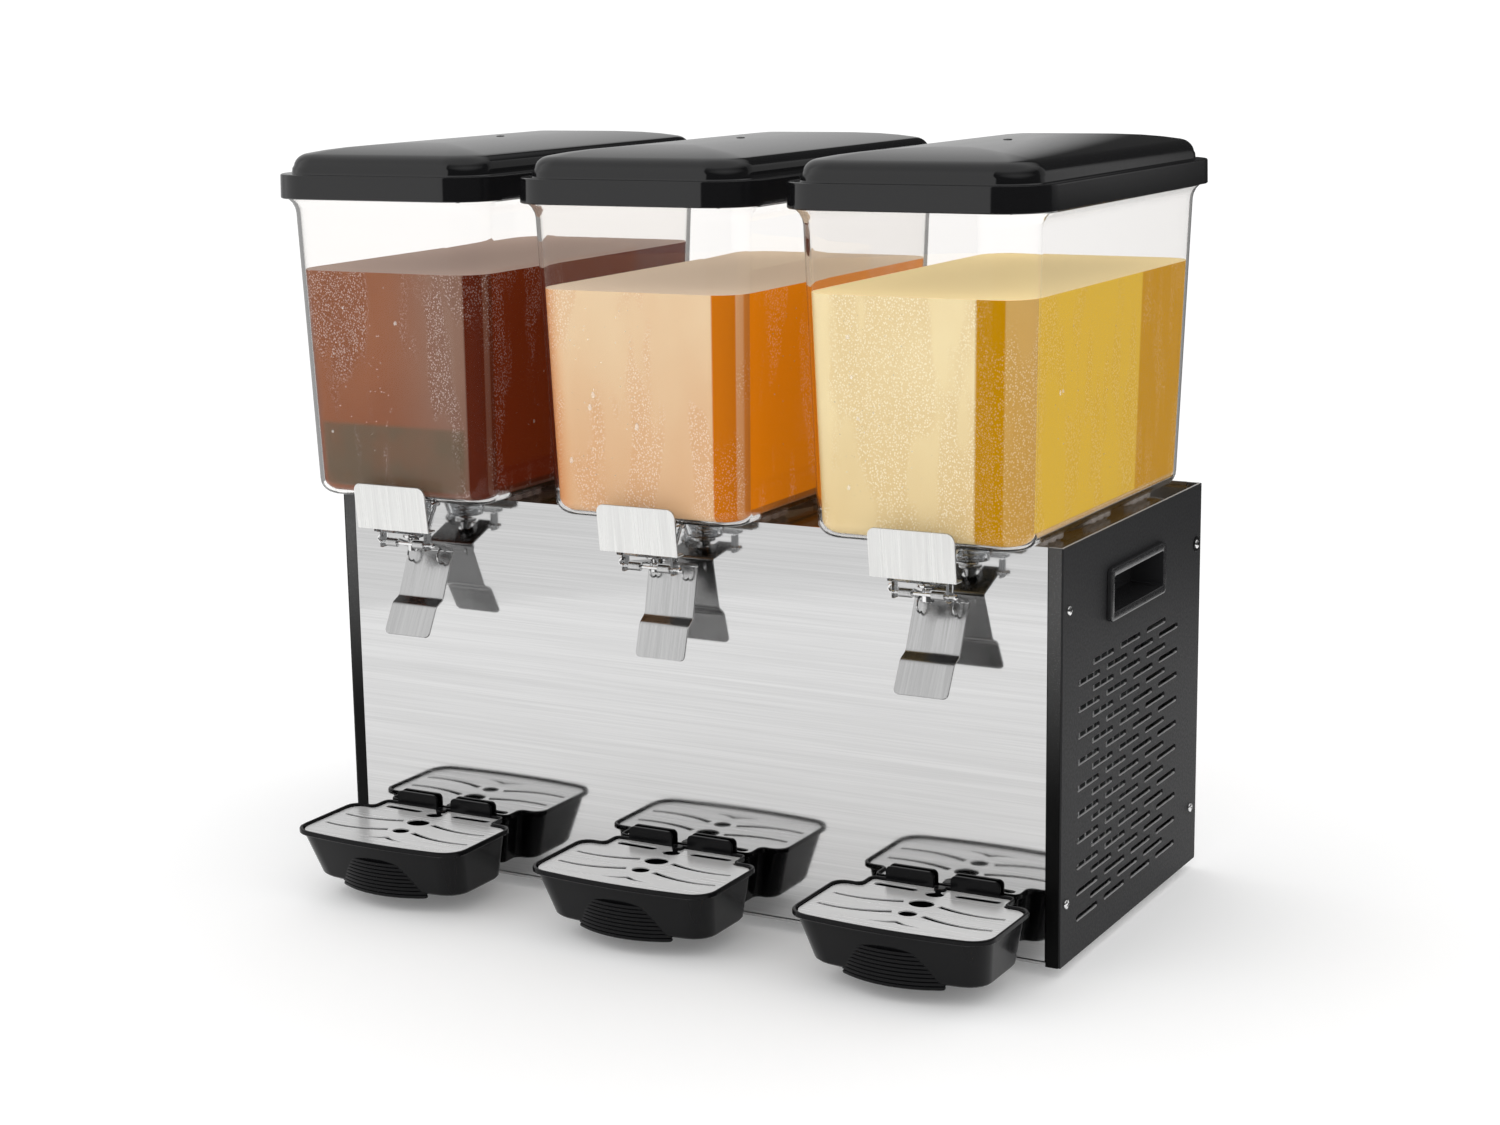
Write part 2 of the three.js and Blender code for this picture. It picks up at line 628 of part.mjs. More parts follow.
// A cup behind the hand-hole with a raised frame round its mouth.
function makeRightGrip() {
  const outer = CABINET_W / 2;
  const edge = 0.4;
  const cup = box(
    [outer - 24, outer + 2],
    [HAND_HOLE.front + edge, HAND_HOLE.back - edge],
    [HAND_HOLE.bottom + edge, HAND_HOLE.top - edge],
  );
  const frame = box(
    [outer + GAP, outer + 4],
    [HAND_HOLE.front - 5, HAND_HOLE.back + 5],
    [HAND_HOLE.bottom - 4, HAND_HOLE.top + 4],
  );
  const mouth = box(
    [outer - 22, outer + 5],
    [HAND_HOLE.front + 3.5, HAND_HOLE.back - 3.5],
    [HAND_HOLE.bottom + 3, HAND_HOLE.top - 3],
  );
  return cut(join(cup, frame), mouth);
}

place("right_side_panel", makeRightPanel(), BLACK_SATIN);
place("left_side_panel", makeRightPanel(), BLACK_SATIN).scale.x = -1;
place("right_grip", makeRightGrip(), BLACK_GLOSS);
place("left_grip", makeRightGrip(), BLACK_GLOSS).scale.x = -1;

function makeFrontPanel() {
  const sheet = box([-PANEL_HALF_X, PANEL_HALF_X], [0, SHEET], [FOOT_H + 4.5, CABINET_TOP]);
  const pegSlots = STATIONS.flatMap((station) =>
    [-PEG_X, PEG_X].map((side) => {
      const x = stationX(station) + side;
      return box([x - 14, x + 14], [-SHEET, 2 * SHEET], [TRAY_RIM_Z + 2.4, TRAY_RIM_Z + 6]);
    }),
  );
  return cut(sheet, ...pegSlots);
}
place("front_panel", makeFrontPanel(), STEEL);

const SWITCH = { x: 250, z: 262, halfX: 11, halfZ: 15 };
const KNOB = { x: 185, z: 262 };
const INLET = { x: 250, z: 60 };

function makeBackPanel() {
  const through = [CABINET_D - 2 * SHEET, CABINET_D + SHEET];
  const thickness = [CABINET_D - SHEET, CABINET_D];
  const sheet = box([-PANEL_HALF_X, PANEL_HALF_X], thickness, [FOOT_H + 1, CABINET_TOP]);
  const openings = [
    box(
      [SWITCH.x - SWITCH.halfX, SWITCH.x + SWITCH.halfX],
      through,
      [SWITCH.z - SWITCH.halfZ, SWITCH.z + SWITCH.halfZ],
    ),
    rod("y", 4, through, [KNOB.x, KNOB.z], 12),
    rod("y", 9, through, [INLET.x, INLET.z], 20),
  ];
  for (let column = 0; column < 5; column++) {
    for (let row = 0; row < 7; row++) {
      const x = -180 + column * 60;
      const z = 60 + row * 22;
      openings.push(box([x - 22, x + 22], through, [z - 2.5, z + 2.5]));
    }
  }
  return cut(sheet, ...openings);
}
place("back_panel", makeBackPanel(), STEEL);

const innerDepth = [INNER_FRONT, INNER_BACK];
place("top_deck", box([-INNER_HALF_X, INNER_HALF_X], innerDepth, [DECK_TOP - SHEET, DECK_TOP]), BLACK_GLOSS);

function makeBasePan() {
  const low = FOOT_H + 0.5;
  const floor = box([-INNER_HALF_X, INNER_HALF_X], innerDepth, [low, low + SHEET]);
  const lips = [-1, 1].map((side) => {
    const alongX = side < 0 ? [-INNER_HALF_X, -INNER_HALF_X + SHEET] : [INNER_HALF_X - SHEET, INNER_HALF_X];
    return box(alongX, innerDepth, [low, low + 16]);
  });
  return join(floor, ...lips);
}
place("base_pan", makeBasePan(), ALUMINIUM);

function makeFoot() {
  const profile = new THREE.Shape([
    new THREE.Vector2(-11, 0),
    new THREE.Vector2(11, 0),
    new THREE.Vector2(13, FOOT_H + 0.2),
    new THREE.Vector2(-13, FOOT_H + 0.2),
  ]);
  return plateXZ(profile, 28, CABINET_D - 56);
}
place("left_foot", makeFoot(), RUBBER, -250);
place("right_foot", makeFoot(), RUBBER, 250);

// ---- refrigeration, on the base pan ----
const PAN_TOP = FOOT_H + 0.5 + SHEET + GAP;

function makeCompressor() {
  const profile = [[0, 0], [62, 0], [62, 6], [52, 10], [58, 30], [58, 100], [48, 132], [20, 145], [0, 147]];
  return turned(profile).translate(-175, 150, PAN_TOP);
}
place("compressor", makeCompressor(), COPPER_BLACK);

// A block of fins behind the right-hand louvres.
function makeCondenser() {
  const fins = new THREE.Shape();
  const pitch = 14;
  const count = 15;
  fins.moveTo(255, 40);
  for (let i = 0; i < count; i++) {
    const y = 40 + i * pitch;
    fins.lineTo(285, y);
    fins.lineTo(285, y + 2.5);
    if (i + 1 < count) {
      fins.lineTo(263, y + 2.5);
      fins.lineTo(263, y + pitch);
    }
  }
  fins.lineTo(255, 40 + (count - 1) * pitch + 2.5);
  const options = { depth: 205, bevelEnabled: false };
  return new THREE.ExtrudeGeometry(fins, options).translate(0, 0, PAN_TOP);
}
place("condenser", makeCondenser(), ALUMINIUM);

const FAN_Y = 145;
const FAN_Z = 118;
function makeFanMotor() {
  const can = rod("x", 24, [160, 212], [FAN_Y, FAN_Z], 20);
  const shaft = rod("x", 3, [210, 232], [FAN_Y, FAN_Z], 12);
  const stand = box([175, 200], [FAN_Y - 18, FAN_Y + 18], [PAN_TOP, FAN_Z]);
  return join(can, shaft, stand);
}
place("fan_motor", makeFanMotor(), BLACK_SATIN);

function makeFanBlade() {
  const hub = rod("x", 18, [216, 236], [0, 0], 20);
  const blades = [0, 1, 2, 3, 4].map((i) =>
    box([-1, 1], [-16, 16], [14, 82]).rotateZ(0.5).translate(226, 0, 0).rotateX((i * 2 * Math.PI) / 5),
  );
  const bore = rod("x", 3.4, [210, 240], [0, 0], 12);
  return cut(join(hub, ...blades), bore).translate(0, FAN_Y, FAN_Z);
}
place("fan_blade", makeFanBlade(), WHITE_PLASTIC);

// ---- controls and inlet on the back ----
function makeSwitch() {
  const clearance = 0.8;
  const profile = new THREE.Shape([
    new THREE.Vector2(CABINET_D - 8, SWITCH.z - 9),
    new THREE.Vector2(CABINET_D + 2, SWITCH.z - SWITCH.halfZ + clearance),
    new THREE.Vector2(CABINET_D + 1.5, SWITCH.z),
    new THREE.Vector2(CABINET_D + 4.5, SWITCH.z + SWITCH.halfZ - clearance - 0.8),
    new THREE.Vector2(CABINET_D - 8, SWITCH.z + 9),
  ]);
  const halfX = SWITCH.halfX - clearance;
  return plateYZ(profile, SWITCH.x - halfX, 2 * halfX);
}
place("power_switch", makeSwitch(), BLACK_GLOSS);

function makeKnob() {
  const points = [[0, -12], [3, -12], [3, 0.6], [17, 0.6], [17, 3], [13, 13], [0, 13]].map(
    ([radius, along]) => new THREE.Vector2(radius, along),
  );
  const body = new THREE.LatheGeometry(points, 24).translate(KNOB.x, CABINET_D, KNOB.z);
  const alongZ = [KNOB.z + 8, KNOB.z + 18.5];
  const pointer = box([KNOB.x - 1.5, KNOB.x + 1.5], [CABINET_D + 1, CABINET_D + 10], alongZ);
  return join(body, pointer);
}
place("thermostat_knob", makeKnob(), BLACK_GLOSS);

function makeInlet() {
  const points = [[5, -9], [8.5, -9], [8.5, 0.4], [13, 0.4], [13, 4], [8, 9], [5, 9], [5, -9]].map(
    ([radius, along]) => new THREE.Vector2(radius, along),
  );
  return new THREE.LatheGeometry(points, 20).translate(INLET.x, CABINET_D, INLET.z);
}
place("power_inlet", makeInlet(), BLACK_SATIN);

machine.position.y = -ORIGIN_Y;
const object = new THREE.Group();
object.add(machine);

export default object;
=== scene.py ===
"""Looks for a refrigerated three-tank drink dispenser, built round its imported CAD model.

Lengths are millimetres in the CAD design frame (y = 0 on the front panel, z = 0 on the counter);
at() turns them into the row frame's metres.
"""
import json
import math
import random
from math import cos, pi, radians, sin

import bmesh
import bpy
from mathutils import Matrix, Vector

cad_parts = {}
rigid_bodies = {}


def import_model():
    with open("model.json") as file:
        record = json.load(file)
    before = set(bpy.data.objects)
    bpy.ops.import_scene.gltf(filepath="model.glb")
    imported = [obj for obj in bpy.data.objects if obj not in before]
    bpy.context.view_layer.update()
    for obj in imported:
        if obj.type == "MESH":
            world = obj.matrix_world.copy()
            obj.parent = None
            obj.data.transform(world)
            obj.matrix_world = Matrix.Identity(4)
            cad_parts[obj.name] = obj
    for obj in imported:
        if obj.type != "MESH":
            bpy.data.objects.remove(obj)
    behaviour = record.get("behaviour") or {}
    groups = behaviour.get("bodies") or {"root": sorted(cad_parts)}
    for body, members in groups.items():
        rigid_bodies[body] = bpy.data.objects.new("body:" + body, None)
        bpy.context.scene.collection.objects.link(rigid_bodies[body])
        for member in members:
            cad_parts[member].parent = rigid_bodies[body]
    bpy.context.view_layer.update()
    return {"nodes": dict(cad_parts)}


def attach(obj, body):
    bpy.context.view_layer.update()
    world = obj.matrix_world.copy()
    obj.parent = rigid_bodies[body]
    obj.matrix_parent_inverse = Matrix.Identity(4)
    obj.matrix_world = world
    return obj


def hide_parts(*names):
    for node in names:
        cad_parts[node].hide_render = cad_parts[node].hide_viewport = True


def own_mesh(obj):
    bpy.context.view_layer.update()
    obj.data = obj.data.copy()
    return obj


for leftover in list(bpy.data.objects):
    bpy.data.objects.remove(leftover)

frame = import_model()
NODES = frame["nodes"]

# ---- driving dimensions, as in the CAD ----
ORIGIN_Y = 97
CABINET_W = 620
CABINET_D = 288
CABINET_TOP = 315
FOOT_H = 8
FLANGE_W = 11.3
SHEET = 2
DECK_TOP = 312.5
PITCH = 220
STATIONS = ("left", "middle", "right")

TANK_FLOOR = 318
TANK_WALL = 3
TANK_DRAFT_START = 330
TANK_WALL_TOP = 538
TANK_RIM = 562
TANK_LOW = {"half_x": 83, "front": -53, "back": 268, "radius": 24}
TANK_HIGH = {"half_x": 88.5, "front": -62, "back": 281, "radius": 27}
TANK_FLARE = {"half_x": 94.5, "front": -68, "back": 287, "radius": 32}
LID_SKIRT = {"half_x": 99, "front": -72, "back": 291, "radius": 35}
LID_BOTTOM = 549.5
LID_STEP = 568
LID_TOP = 589
COOLER_Y = 120
COOLER_R = 50

TAP_X = 4
TAP_Y = -36
BRACKET_Z = 293.7
PIVOT_Y = -46
PIVOT_Z = 284
MIDDLE_TILT = 12
LEVER_TRAVEL = 30
PLUNGER_LOW = 276.9
PLUNGER_TRAVEL = 5
COLLAR_UP = 13
SPRING_BAR_Z = 306.2
LIFT_PER_DEGREE = PLUNGER_TRAVEL / LEVER_TRAVEL

TRAY_RIM_Z = 58
TRAY_FLOOR_Z = 16
TRAY_HALF = 78
TRAY_FRONT = -101
TRAY_BOW = 6

JUICE_LEVEL = {"left": 494, "middle": 486.7, "right": 491}
JUICE_GAP = 0.35


def station_x(station):
    return (STATIONS.index(station) - 1) * PITCH


def at(x, y, z):
    return Vector((x, y - ORIGIN_Y, z)) / 1000


# Turns a flat sheet's v from +Y to +Z.
UPRIGHT = Matrix.Rotation(pi / 2, 4, "X")


# ---- mesh building ----
def finish_piece(obj, material, body, replaces=(), sharp=32, casts_shadow=True):
    """Smooth shading with sharp edges kept, a material, and the CAD body that the piece rides on."""
    mesh = bmesh.new()
    mesh.from_mesh(obj.data)
    bmesh.ops.recalc_face_normals(mesh, faces=mesh.faces)
    for face in mesh.faces:
        face.smooth = True
    for edge in mesh.edges:
        edge.smooth = edge.calc_face_angle(0) < radians(sharp)
    mesh.to_mesh(obj.data)
    mesh.free()
    even = obj.modifiers.new("even normals", "WEIGHTED_NORMAL")
    even.keep_sharp = True
    obj.data.materials.clear()
    obj.data.materials.append(material)
    obj.visible_shadow = casts_shadow
    if replaces:
        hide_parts(*replaces)
    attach(obj, body)


def add_object(name, data):
    obj = bpy.data.objects.new(name, data)
    bpy.context.scene.collection.objects.link(obj)
    return obj


def new_mesh(name, verts, faces):
    data = bpy.data.meshes.new(name)
    data.from_pydata([tuple(v) for v in verts], [], faces)
    return add_object(name, data)


def join_pieces(name, pieces):
    """One object from several, which are removed."""
    whole = bmesh.new()
    for piece in pieces:
        whole.from_mesh(piece.data)
        bpy.data.objects.remove(piece)
    data = bpy.data.meshes.new(name)
    whole.to_mesh(data)
    whole.free()
    return add_object(name, data)


def turns(sides):
    """Angles in equal steps round a circle."""
    return [2 * pi * i / sides for i in range(sides)]


def skin(ring_count, sides, closed=False):
    """Faces over rings of points, capped at both ends, or joined last ring to first."""
    faces = []
    for r in range(ring_count if closed else ring_count - 1):
        low = r * sides
        high = ((r + 1) % ring_count) * sides
        for i in range(sides):
            j = (i + 1) % sides
            faces.append((low + i, low + j, high + j, high + i))
    if not closed:
        faces.append(tuple(range(sides))[::-1])
        faces.append(tuple(range((ring_count - 1) * sides, ring_count * sides)))
    return faces


def loft(name, rings, closed=False):
    """A skin over rings of equal point counts, as an object."""
    verts = [point for ring in rings for point in ring]
    return new_mesh(name, verts, skin(len(rings), len(rings[0]), closed))


def lathe(name, profile, centre, axis="z", sides=40):
    """A turned piece: profile points are (radius, distance along the axis), open ends are capped."""
    frames = {
        "x": lambda r, h, c, s: at(centre[0] + h, centre[1] + r * c, centre[2] + r * s),
        "y": lambda r, h, c, s: at(centre[0] + r * s, centre[1] + h, centre[2] + r * c),
        "z": lambda r, h, c, s: at(centre[0] + r * c, centre[1] + r * s, centre[2] + h),
    }
    place = frames[axis]
    rings = []
    for radius, height in profile:
        reach = max(radius, 0.001)
        rings.append([place(reach, height, cos(t), sin(t)) for t in turns(sides)])
    return loft(name, rings)


def box(name, x, y, z, place=at):
    """A sharp box from (low, high) pairs; place turns a corner into metres."""
    corners = [place(i, j, k) for k in z for j in y for i in x]
    faces = [(0, 2, 3, 1), (4, 5, 7, 6), (0, 1, 5, 4), (2, 6, 7, 3), (0, 4, 6, 2), (1, 3, 7, 5)]
    return new_mesh(name, corners, faces)


def block(name, x, y, z, bevel):
    """A box with rounded edges."""
    obj = box(name, x, y, z)
    mesh = bmesh.new()
    mesh.from_mesh(obj.data)
    edges = list(mesh.edges)
    bmesh.ops.bevel(mesh, geom=edges, offset=bevel / 1000, segments=2, profile=0.5, affect="EDGES",
                    clamp_overlap=True)
    mesh.to_mesh(obj.data)
    mesh.free()
    return obj


def tube(name, points, radius, sides=12):
    """A round wire through points, as a mesh."""
    curve = bpy.data.curves.new(name, "CURVE")
    curve.dimensions = "3D"
    curve.bevel_depth = radius / 1000
    curve.bevel_resolution = max(sides // 4, 1)
    curve.use_fill_caps = True
    spline = curve.splines.new("POLY")
    spline.points.add(len(points) - 1)
    for point, (x, y, z) in zip(spline.points, points):
        point.co = (*at(x, y, z), 1)
    return mesh_of_curve(name, curve)


def evaluated_mesh(obj):
    bpy.context.view_layer.update()
    return bpy.data.meshes.new_from_object(obj.evaluated_get(bpy.context.evaluated_depsgraph_get()))


def mesh_of_curve(name, curve, matrix=None):
    source = add_object(name + "_curve", curve)
    data = evaluated_mesh(source)
    bpy.data.objects.remove(source)
    if matrix:
        data.transform(matrix)
    data.name = name
    mesh = bmesh.new()
    mesh.from_mesh(data)
    bmesh.ops.remove_doubles(mesh, verts=mesh.verts, dist=2e-6)
    mesh.to_mesh(data)
    mesh.free()
    return add_object(name, data)


def punched_sheet(name, outline, holes, thickness, matrix, edge):
    """A flat sheet with holes and softened edges. Outlines are (u, v) points in mm, and matrix places it."""
    curve = bpy.data.curves.new(name, "CURVE")
    curve.dimensions = "2D"
    curve.fill_mode = "BOTH"
    curve.extrude = (thickness / 2 - edge) / 1000
    curve.bevel_depth = edge / 1000
    curve.bevel_resolution = 1
    curve.offset = -edge / 1000
    for loop in [outline, *holes]:
        spline = curve.splines.new("POLY")
        spline.points.add(len(loop) - 1)
        for point, (u, v) in zip(spline.points, loop):
            point.co = (u / 1000, v / 1000, 0, 1)
        spline.use_cyclic_u = True
    return mesh_of_curve(name, curve, matrix)


def subtract(obj, *tools):
    for tool in tools:
        modifier = obj.modifiers.new("cut", "BOOLEAN")
        modifier.operation = "DIFFERENCE"
        modifier.solver = "EXACT"
        modifier.object = tool
    data = evaluated_mesh(obj)
    obj.modifiers.clear()
    obj.data = data
    for tool in tools:
        bpy.data.objects.remove(tool)


# ---- outlines ----
def arc(centre, radius, start, end, steps):
    angles = [radians(start + (end - start) * i / steps) for i in range(steps + 1)]
    return [(centre[0] + radius * cos(a), centre[1] + radius * sin(a)) for a in angles]


def rounded_rectangle(half_x, front, back, radius, steps):
    """A level rounded rectangle, anticlockwise, with a fixed number of points."""
    corners = [
        ((half_x - radius, back - radius), 0),
        ((-half_x + radius, back - radius), 90),
        ((-half_x + radius, front + radius), 180),
        ((half_x - radius, front + radius), 270),
    ]
    return [p for centre, start in corners for p in arc(centre, radius, start, start + 90, steps)]


def rectangle(left, low, right, high):
    return [(left, low), (right, low), (right, high), (left, high)]


def rounded_corners(corners, steps=5):
    """An outline from [x, y, radius] corners."""
    points = []
    count = len(corners)
    for i, (x, y, radius) in enumerate(corners):
        here = Vector((x, y))
        if not radius:
            points.append(tuple(here))
            continue
        back = (Vector(corners[i - 1][:2]) - here).normalized()
        ahead = (Vector(corners[(i + 1) % count][:2]) - here).normalized()
        half = math.acos(max(-1, min(1, back.dot(ahead)))) / 2
        centre = here + (back + ahead).normalized() * (radius / sin(half))
        first = here + back * (radius / math.tan(half)) - centre
        last = here + ahead * (radius / math.tan(half)) - centre
        start = math.atan2(first.y, first.x)
        turn = (math.atan2(last.y, last.x) - start + pi) % (2 * pi) - pi
        for k in range(steps + 1):
            angle = start + turn * k / steps
            points.append((centre.x + radius * cos(angle), centre.y + radius * sin(angle)))
    return points


def level_ring(shape, x, z, inset=0.0, keep_radius=1.0, steps=8):
    """A ring of 3-D points: the rounded rectangle shape, shrunk by inset, at height z."""
    half_x = shape["half_x"] - inset
    front = shape["front"] + inset
    back = shape["back"] - inset
    radius = min(max(shape["radius"] - keep_radius * inset, 3), half_x - 0.5)
    return [at(x + u, v, z) for u, v in rounded_rectangle(half_x, front, back, radius, steps)]


def between(low, high, t):
    return {key: low[key] + (high[key] - low[key]) * t for key in low}


def tank_shape(z):
    """The tank's outer outline at height z on its drafted wall."""
    return between(TANK_LOW, TANK_HIGH, (z - TANK_DRAFT_START) / (TANK_WALL_TOP - TANK_DRAFT_START))


def quarter_round(radius, step):
    """(inset, up) points of a fillet, from the floor's edge up to the wall."""
    angles = [radians(degrees) for degrees in range(0, 91, step)]
    return [(radius * (1 - sin(a)), radius * (1 - cos(a))) for a in angles]


# ---- materials ----
def grey(value):
    return (value, value, value)


def new_material(name, color, roughness, metallic=0.0, **extra):
    material = bpy.data.materials.new(name)
    material.use_nodes = True
    shader = material.node_tree.nodes["Principled BSDF"]
    shader.inputs["Base Color"].default_value = (*color, 1)
    shader.inputs["Roughness"].default_value = roughness
    shader.inputs["Metallic"].default_value = metallic
    for key, value in extra.items():
        shader.inputs[key.replace("_", " ")].default_value = value
    return material


class Nodes:
    """Short ways to add nodes to one tree and to link them."""

    def __init__(self, tree):
        self.tree = tree
        self.coordinates = self.add("TexCoord", {}).outputs

    def add(self, kind, inputs, **settings):
        """inputs maps a socket's name or number to a number, a colour or the socket that feeds it."""
        node = self.tree.nodes.new("ShaderNode" + kind)
        for key, value in settings.items():
            setattr(node, key, value)
        for key, value in inputs.items():
            socket = node.inputs[key]
            if isinstance(value, bpy.types.NodeSocket):
                self.tree.links.new(value, socket)
            else:
                socket.default_value = (*value, 1) if socket.type == "RGBA" else value
        return node

    def to_shader(self, source, name):
        self.tree.links.new(source, self.tree.nodes["Principled BSDF"].inputs[name])

    def separate(self, source):
        return self.add("SeparateXYZ", {0: source}).outputs

    def normal(self):
        return self.separate(self.add("NewGeometry", {}).outputs["Normal"])

    def scaled(self, scale):
        inputs = {"Scale": scale, "Vector": self.coordinates["Object"]}
        return self.add("Mapping", inputs).outputs["Vector"]

    def noise(self, scale, detail, stretch=(1, 1, 1), roughness=0.5):
        inputs = {"Scale": scale, "Detail": detail, "Roughness": roughness, "Vector": self.scaled(stretch)}
        return self.add("TexNoise", inputs).outputs["Fac"]

    def cells(self, scale, stretch):
        return self.add("TexVoronoi", {"Scale": scale, "Vector": self.scaled(stretch)}).outputs["Distance"]

    def ramp(self, source, low, high, to_low=0.0, to_high=1.0, smooth=True):
        """Maps source from low..high to to_low..to_high, clamped."""
        inputs = {"Value": source, "From Min": low, "From Max": high, "To Min": to_low, "To Max": to_high}
        kind = "SMOOTHSTEP" if smooth else "LINEAR"
        return self.add("MapRange", inputs, interpolation_type=kind).outputs["Result"]

    def mix(self, factor, first, second):
        """Blends two colours."""
        return self.add("Mix", {0: factor, 6: first, 7: second}, data_type="RGBA").outputs[2]

    def blend(self, factor, first, second):
        """Blends two numbers."""
        return self.add("Mix", {0: factor, 2: first, 3: second}).outputs[0]

    def math(self, operation, first, second):
        return self.add("Math", {0: first, 1: second}, operation=operation).outputs[0]

    def product(self, first, *others):
        for other in others:
            first = self.math("MULTIPLY", first, other)
        return first

    def stops(self, source, values):
        """Maps source through (position, grey) stops in rising order, joined by straight lines."""
        node = self.add("ValToRGB", {0: source})
        steps = node.color_ramp.elements
        steps[0].color = (*grey(values[0][1]), 1)
        steps[-1].color = (*grey(values[-1][1]), 1)
        for position, value in values:
            steps.new(position).color = (*grey(value), 1)
        return node.outputs["Color"]

    def bump(self, height, strength, distance):
        inputs = {"Strength": strength, "Distance": distance, "Height": height}
        self.to_shader(self.add("Bump", inputs).outputs["Normal"], "Normal")


def plastic(name, color, roughness, grain=0.04, scale=180, bump=0.05, gloss=0.5, **extra):
    """Moulded plastic with a faint unevenness in its gloss."""
    material = new_material(name, color, roughness, Specular_IOR_Level=gloss, **extra)
    nodes = Nodes(material.node_tree)
    fine = nodes.noise(scale, 3)
    nodes.to_shader(nodes.ramp(fine, 0.25, 0.75, roughness - grain, roughness + grain), "Roughness")
    nodes.bump(nodes.noise(scale / 9, 2), bump, 0.0004)
    return material


def brushed(name, dark, light, roughness, stretch, bump=0.04, metallic=1.0, painted_up_reflection=None,
            painted_down_shade=None):
    """Brushed steel, with streaks along the axis that stretch has small. Faces that look up get a painted
    dark reflection, faces that look down painted shade.
    """
    material = new_material(name, light, roughness, metallic)
    nodes = Nodes(material.node_tree)
    fine_share = 0.65
    fine = nodes.noise(1.0, 4, stretch, 0.65)
    broad = nodes.noise(0.22, 3, stretch, 0.6)
    streaks = nodes.math("ADD", nodes.product(fine, fine_share), nodes.product(broad, 1 - fine_share))
    color = nodes.mix(nodes.ramp(streaks, 0.3, 0.7), dark, light)
    # Painted reflection: faces that look up are darkened, as if they mirrored something dark above them.
    if painted_up_reflection:
        color = nodes.mix(nodes.ramp(nodes.normal()["Z"], 0.6, 0.85), color, painted_up_reflection)
    # Painted shade: faces that look down are darkened.
    if painted_down_shade:
        color = nodes.mix(nodes.ramp(nodes.normal()["Z"], -0.2, -0.6), color, painted_down_shade)
    nodes.to_shader(color, "Base Color")
    nodes.to_shader(nodes.ramp(streaks, 0.3, 0.7, roughness * 1.35, roughness * 0.75), "Roughness")
    nodes.bump(streaks, bump, 0.0002)
    return material


def powder_coat(name, color, speck, roughness, amount, gloss, low=None):
    """Textured black paint with fine pale specks and a painted highlight on its top edges.

    amount is how thick the specks are, and low is the near-black colour that painted shade takes the paint to
    near the counter.
    """
    material = new_material(name, color, roughness, Specular_IOR_Level=gloss)
    nodes = Nodes(material.node_tree)
    grain = nodes.noise(1600, 2)
    paint = nodes.mix(nodes.ramp(grain, 0.62 - amount, 0.74 - amount), color, speck)
    # Painted shade: the paint darkens towards the counter.
    if low:
        paint = nodes.mix(nodes.ramp(nodes.separate(nodes.coordinates["Object"])["Z"], 0.3, 0.12), paint, low)
    # Painted highlight: faces that look up, such as the top edges, are lightened as if they caught the light.
    lit_top_edges = nodes.mix(nodes.ramp(nodes.normal()["Z"], 0.5, 0.8), paint, grey(0.45))
    spread = 0.06
    gloss_grain = nodes.ramp(nodes.noise(500, 2), 0.3, 0.7, roughness - spread, roughness + spread)
    nodes.to_shader(lit_top_edges, "Base Color")
    nodes.to_shader(gloss_grain, "Roughness")
    nodes.bump(grain, 0.16, 0.0003)
    return material


def clear_plastic(name, tint, roughness):
    """Clear moulded plastic, with faint waviness that bends what is seen through it."""
    material = new_material(name, tint, roughness, IOR=1.22, Transmission_Weight=1.0)
    nodes = Nodes(material.node_tree)
    nodes.bump(nodes.noise(14, 2), 0.06, 0.002)
    return material


# Heights and depths in the drink are metres in the row frame, as the shader sees them.
WASH_THIN, WASH_FULL = 0.33, 0.47
SIDE_ENDS = (0.062, 0.066)
SEDIMENT_TOP = (0.379, 0.374)
BAND_REACH = 60
SIDE_DRAFT = (TANK_HIGH["half_x"] - TANK_LOW["half_x"]) / (TANK_WALL_TOP - TANK_DRAFT_START)
JUICE_HALF_AT_COUNTER = TANK_LOW["half_x"] - TANK_WALL - JUICE_GAP - TANK_DRAFT_START * SIDE_DRAFT
FACES_RIGHT = (0.9975, 0.9995)
FACES_UP = (0.5, 0.9)


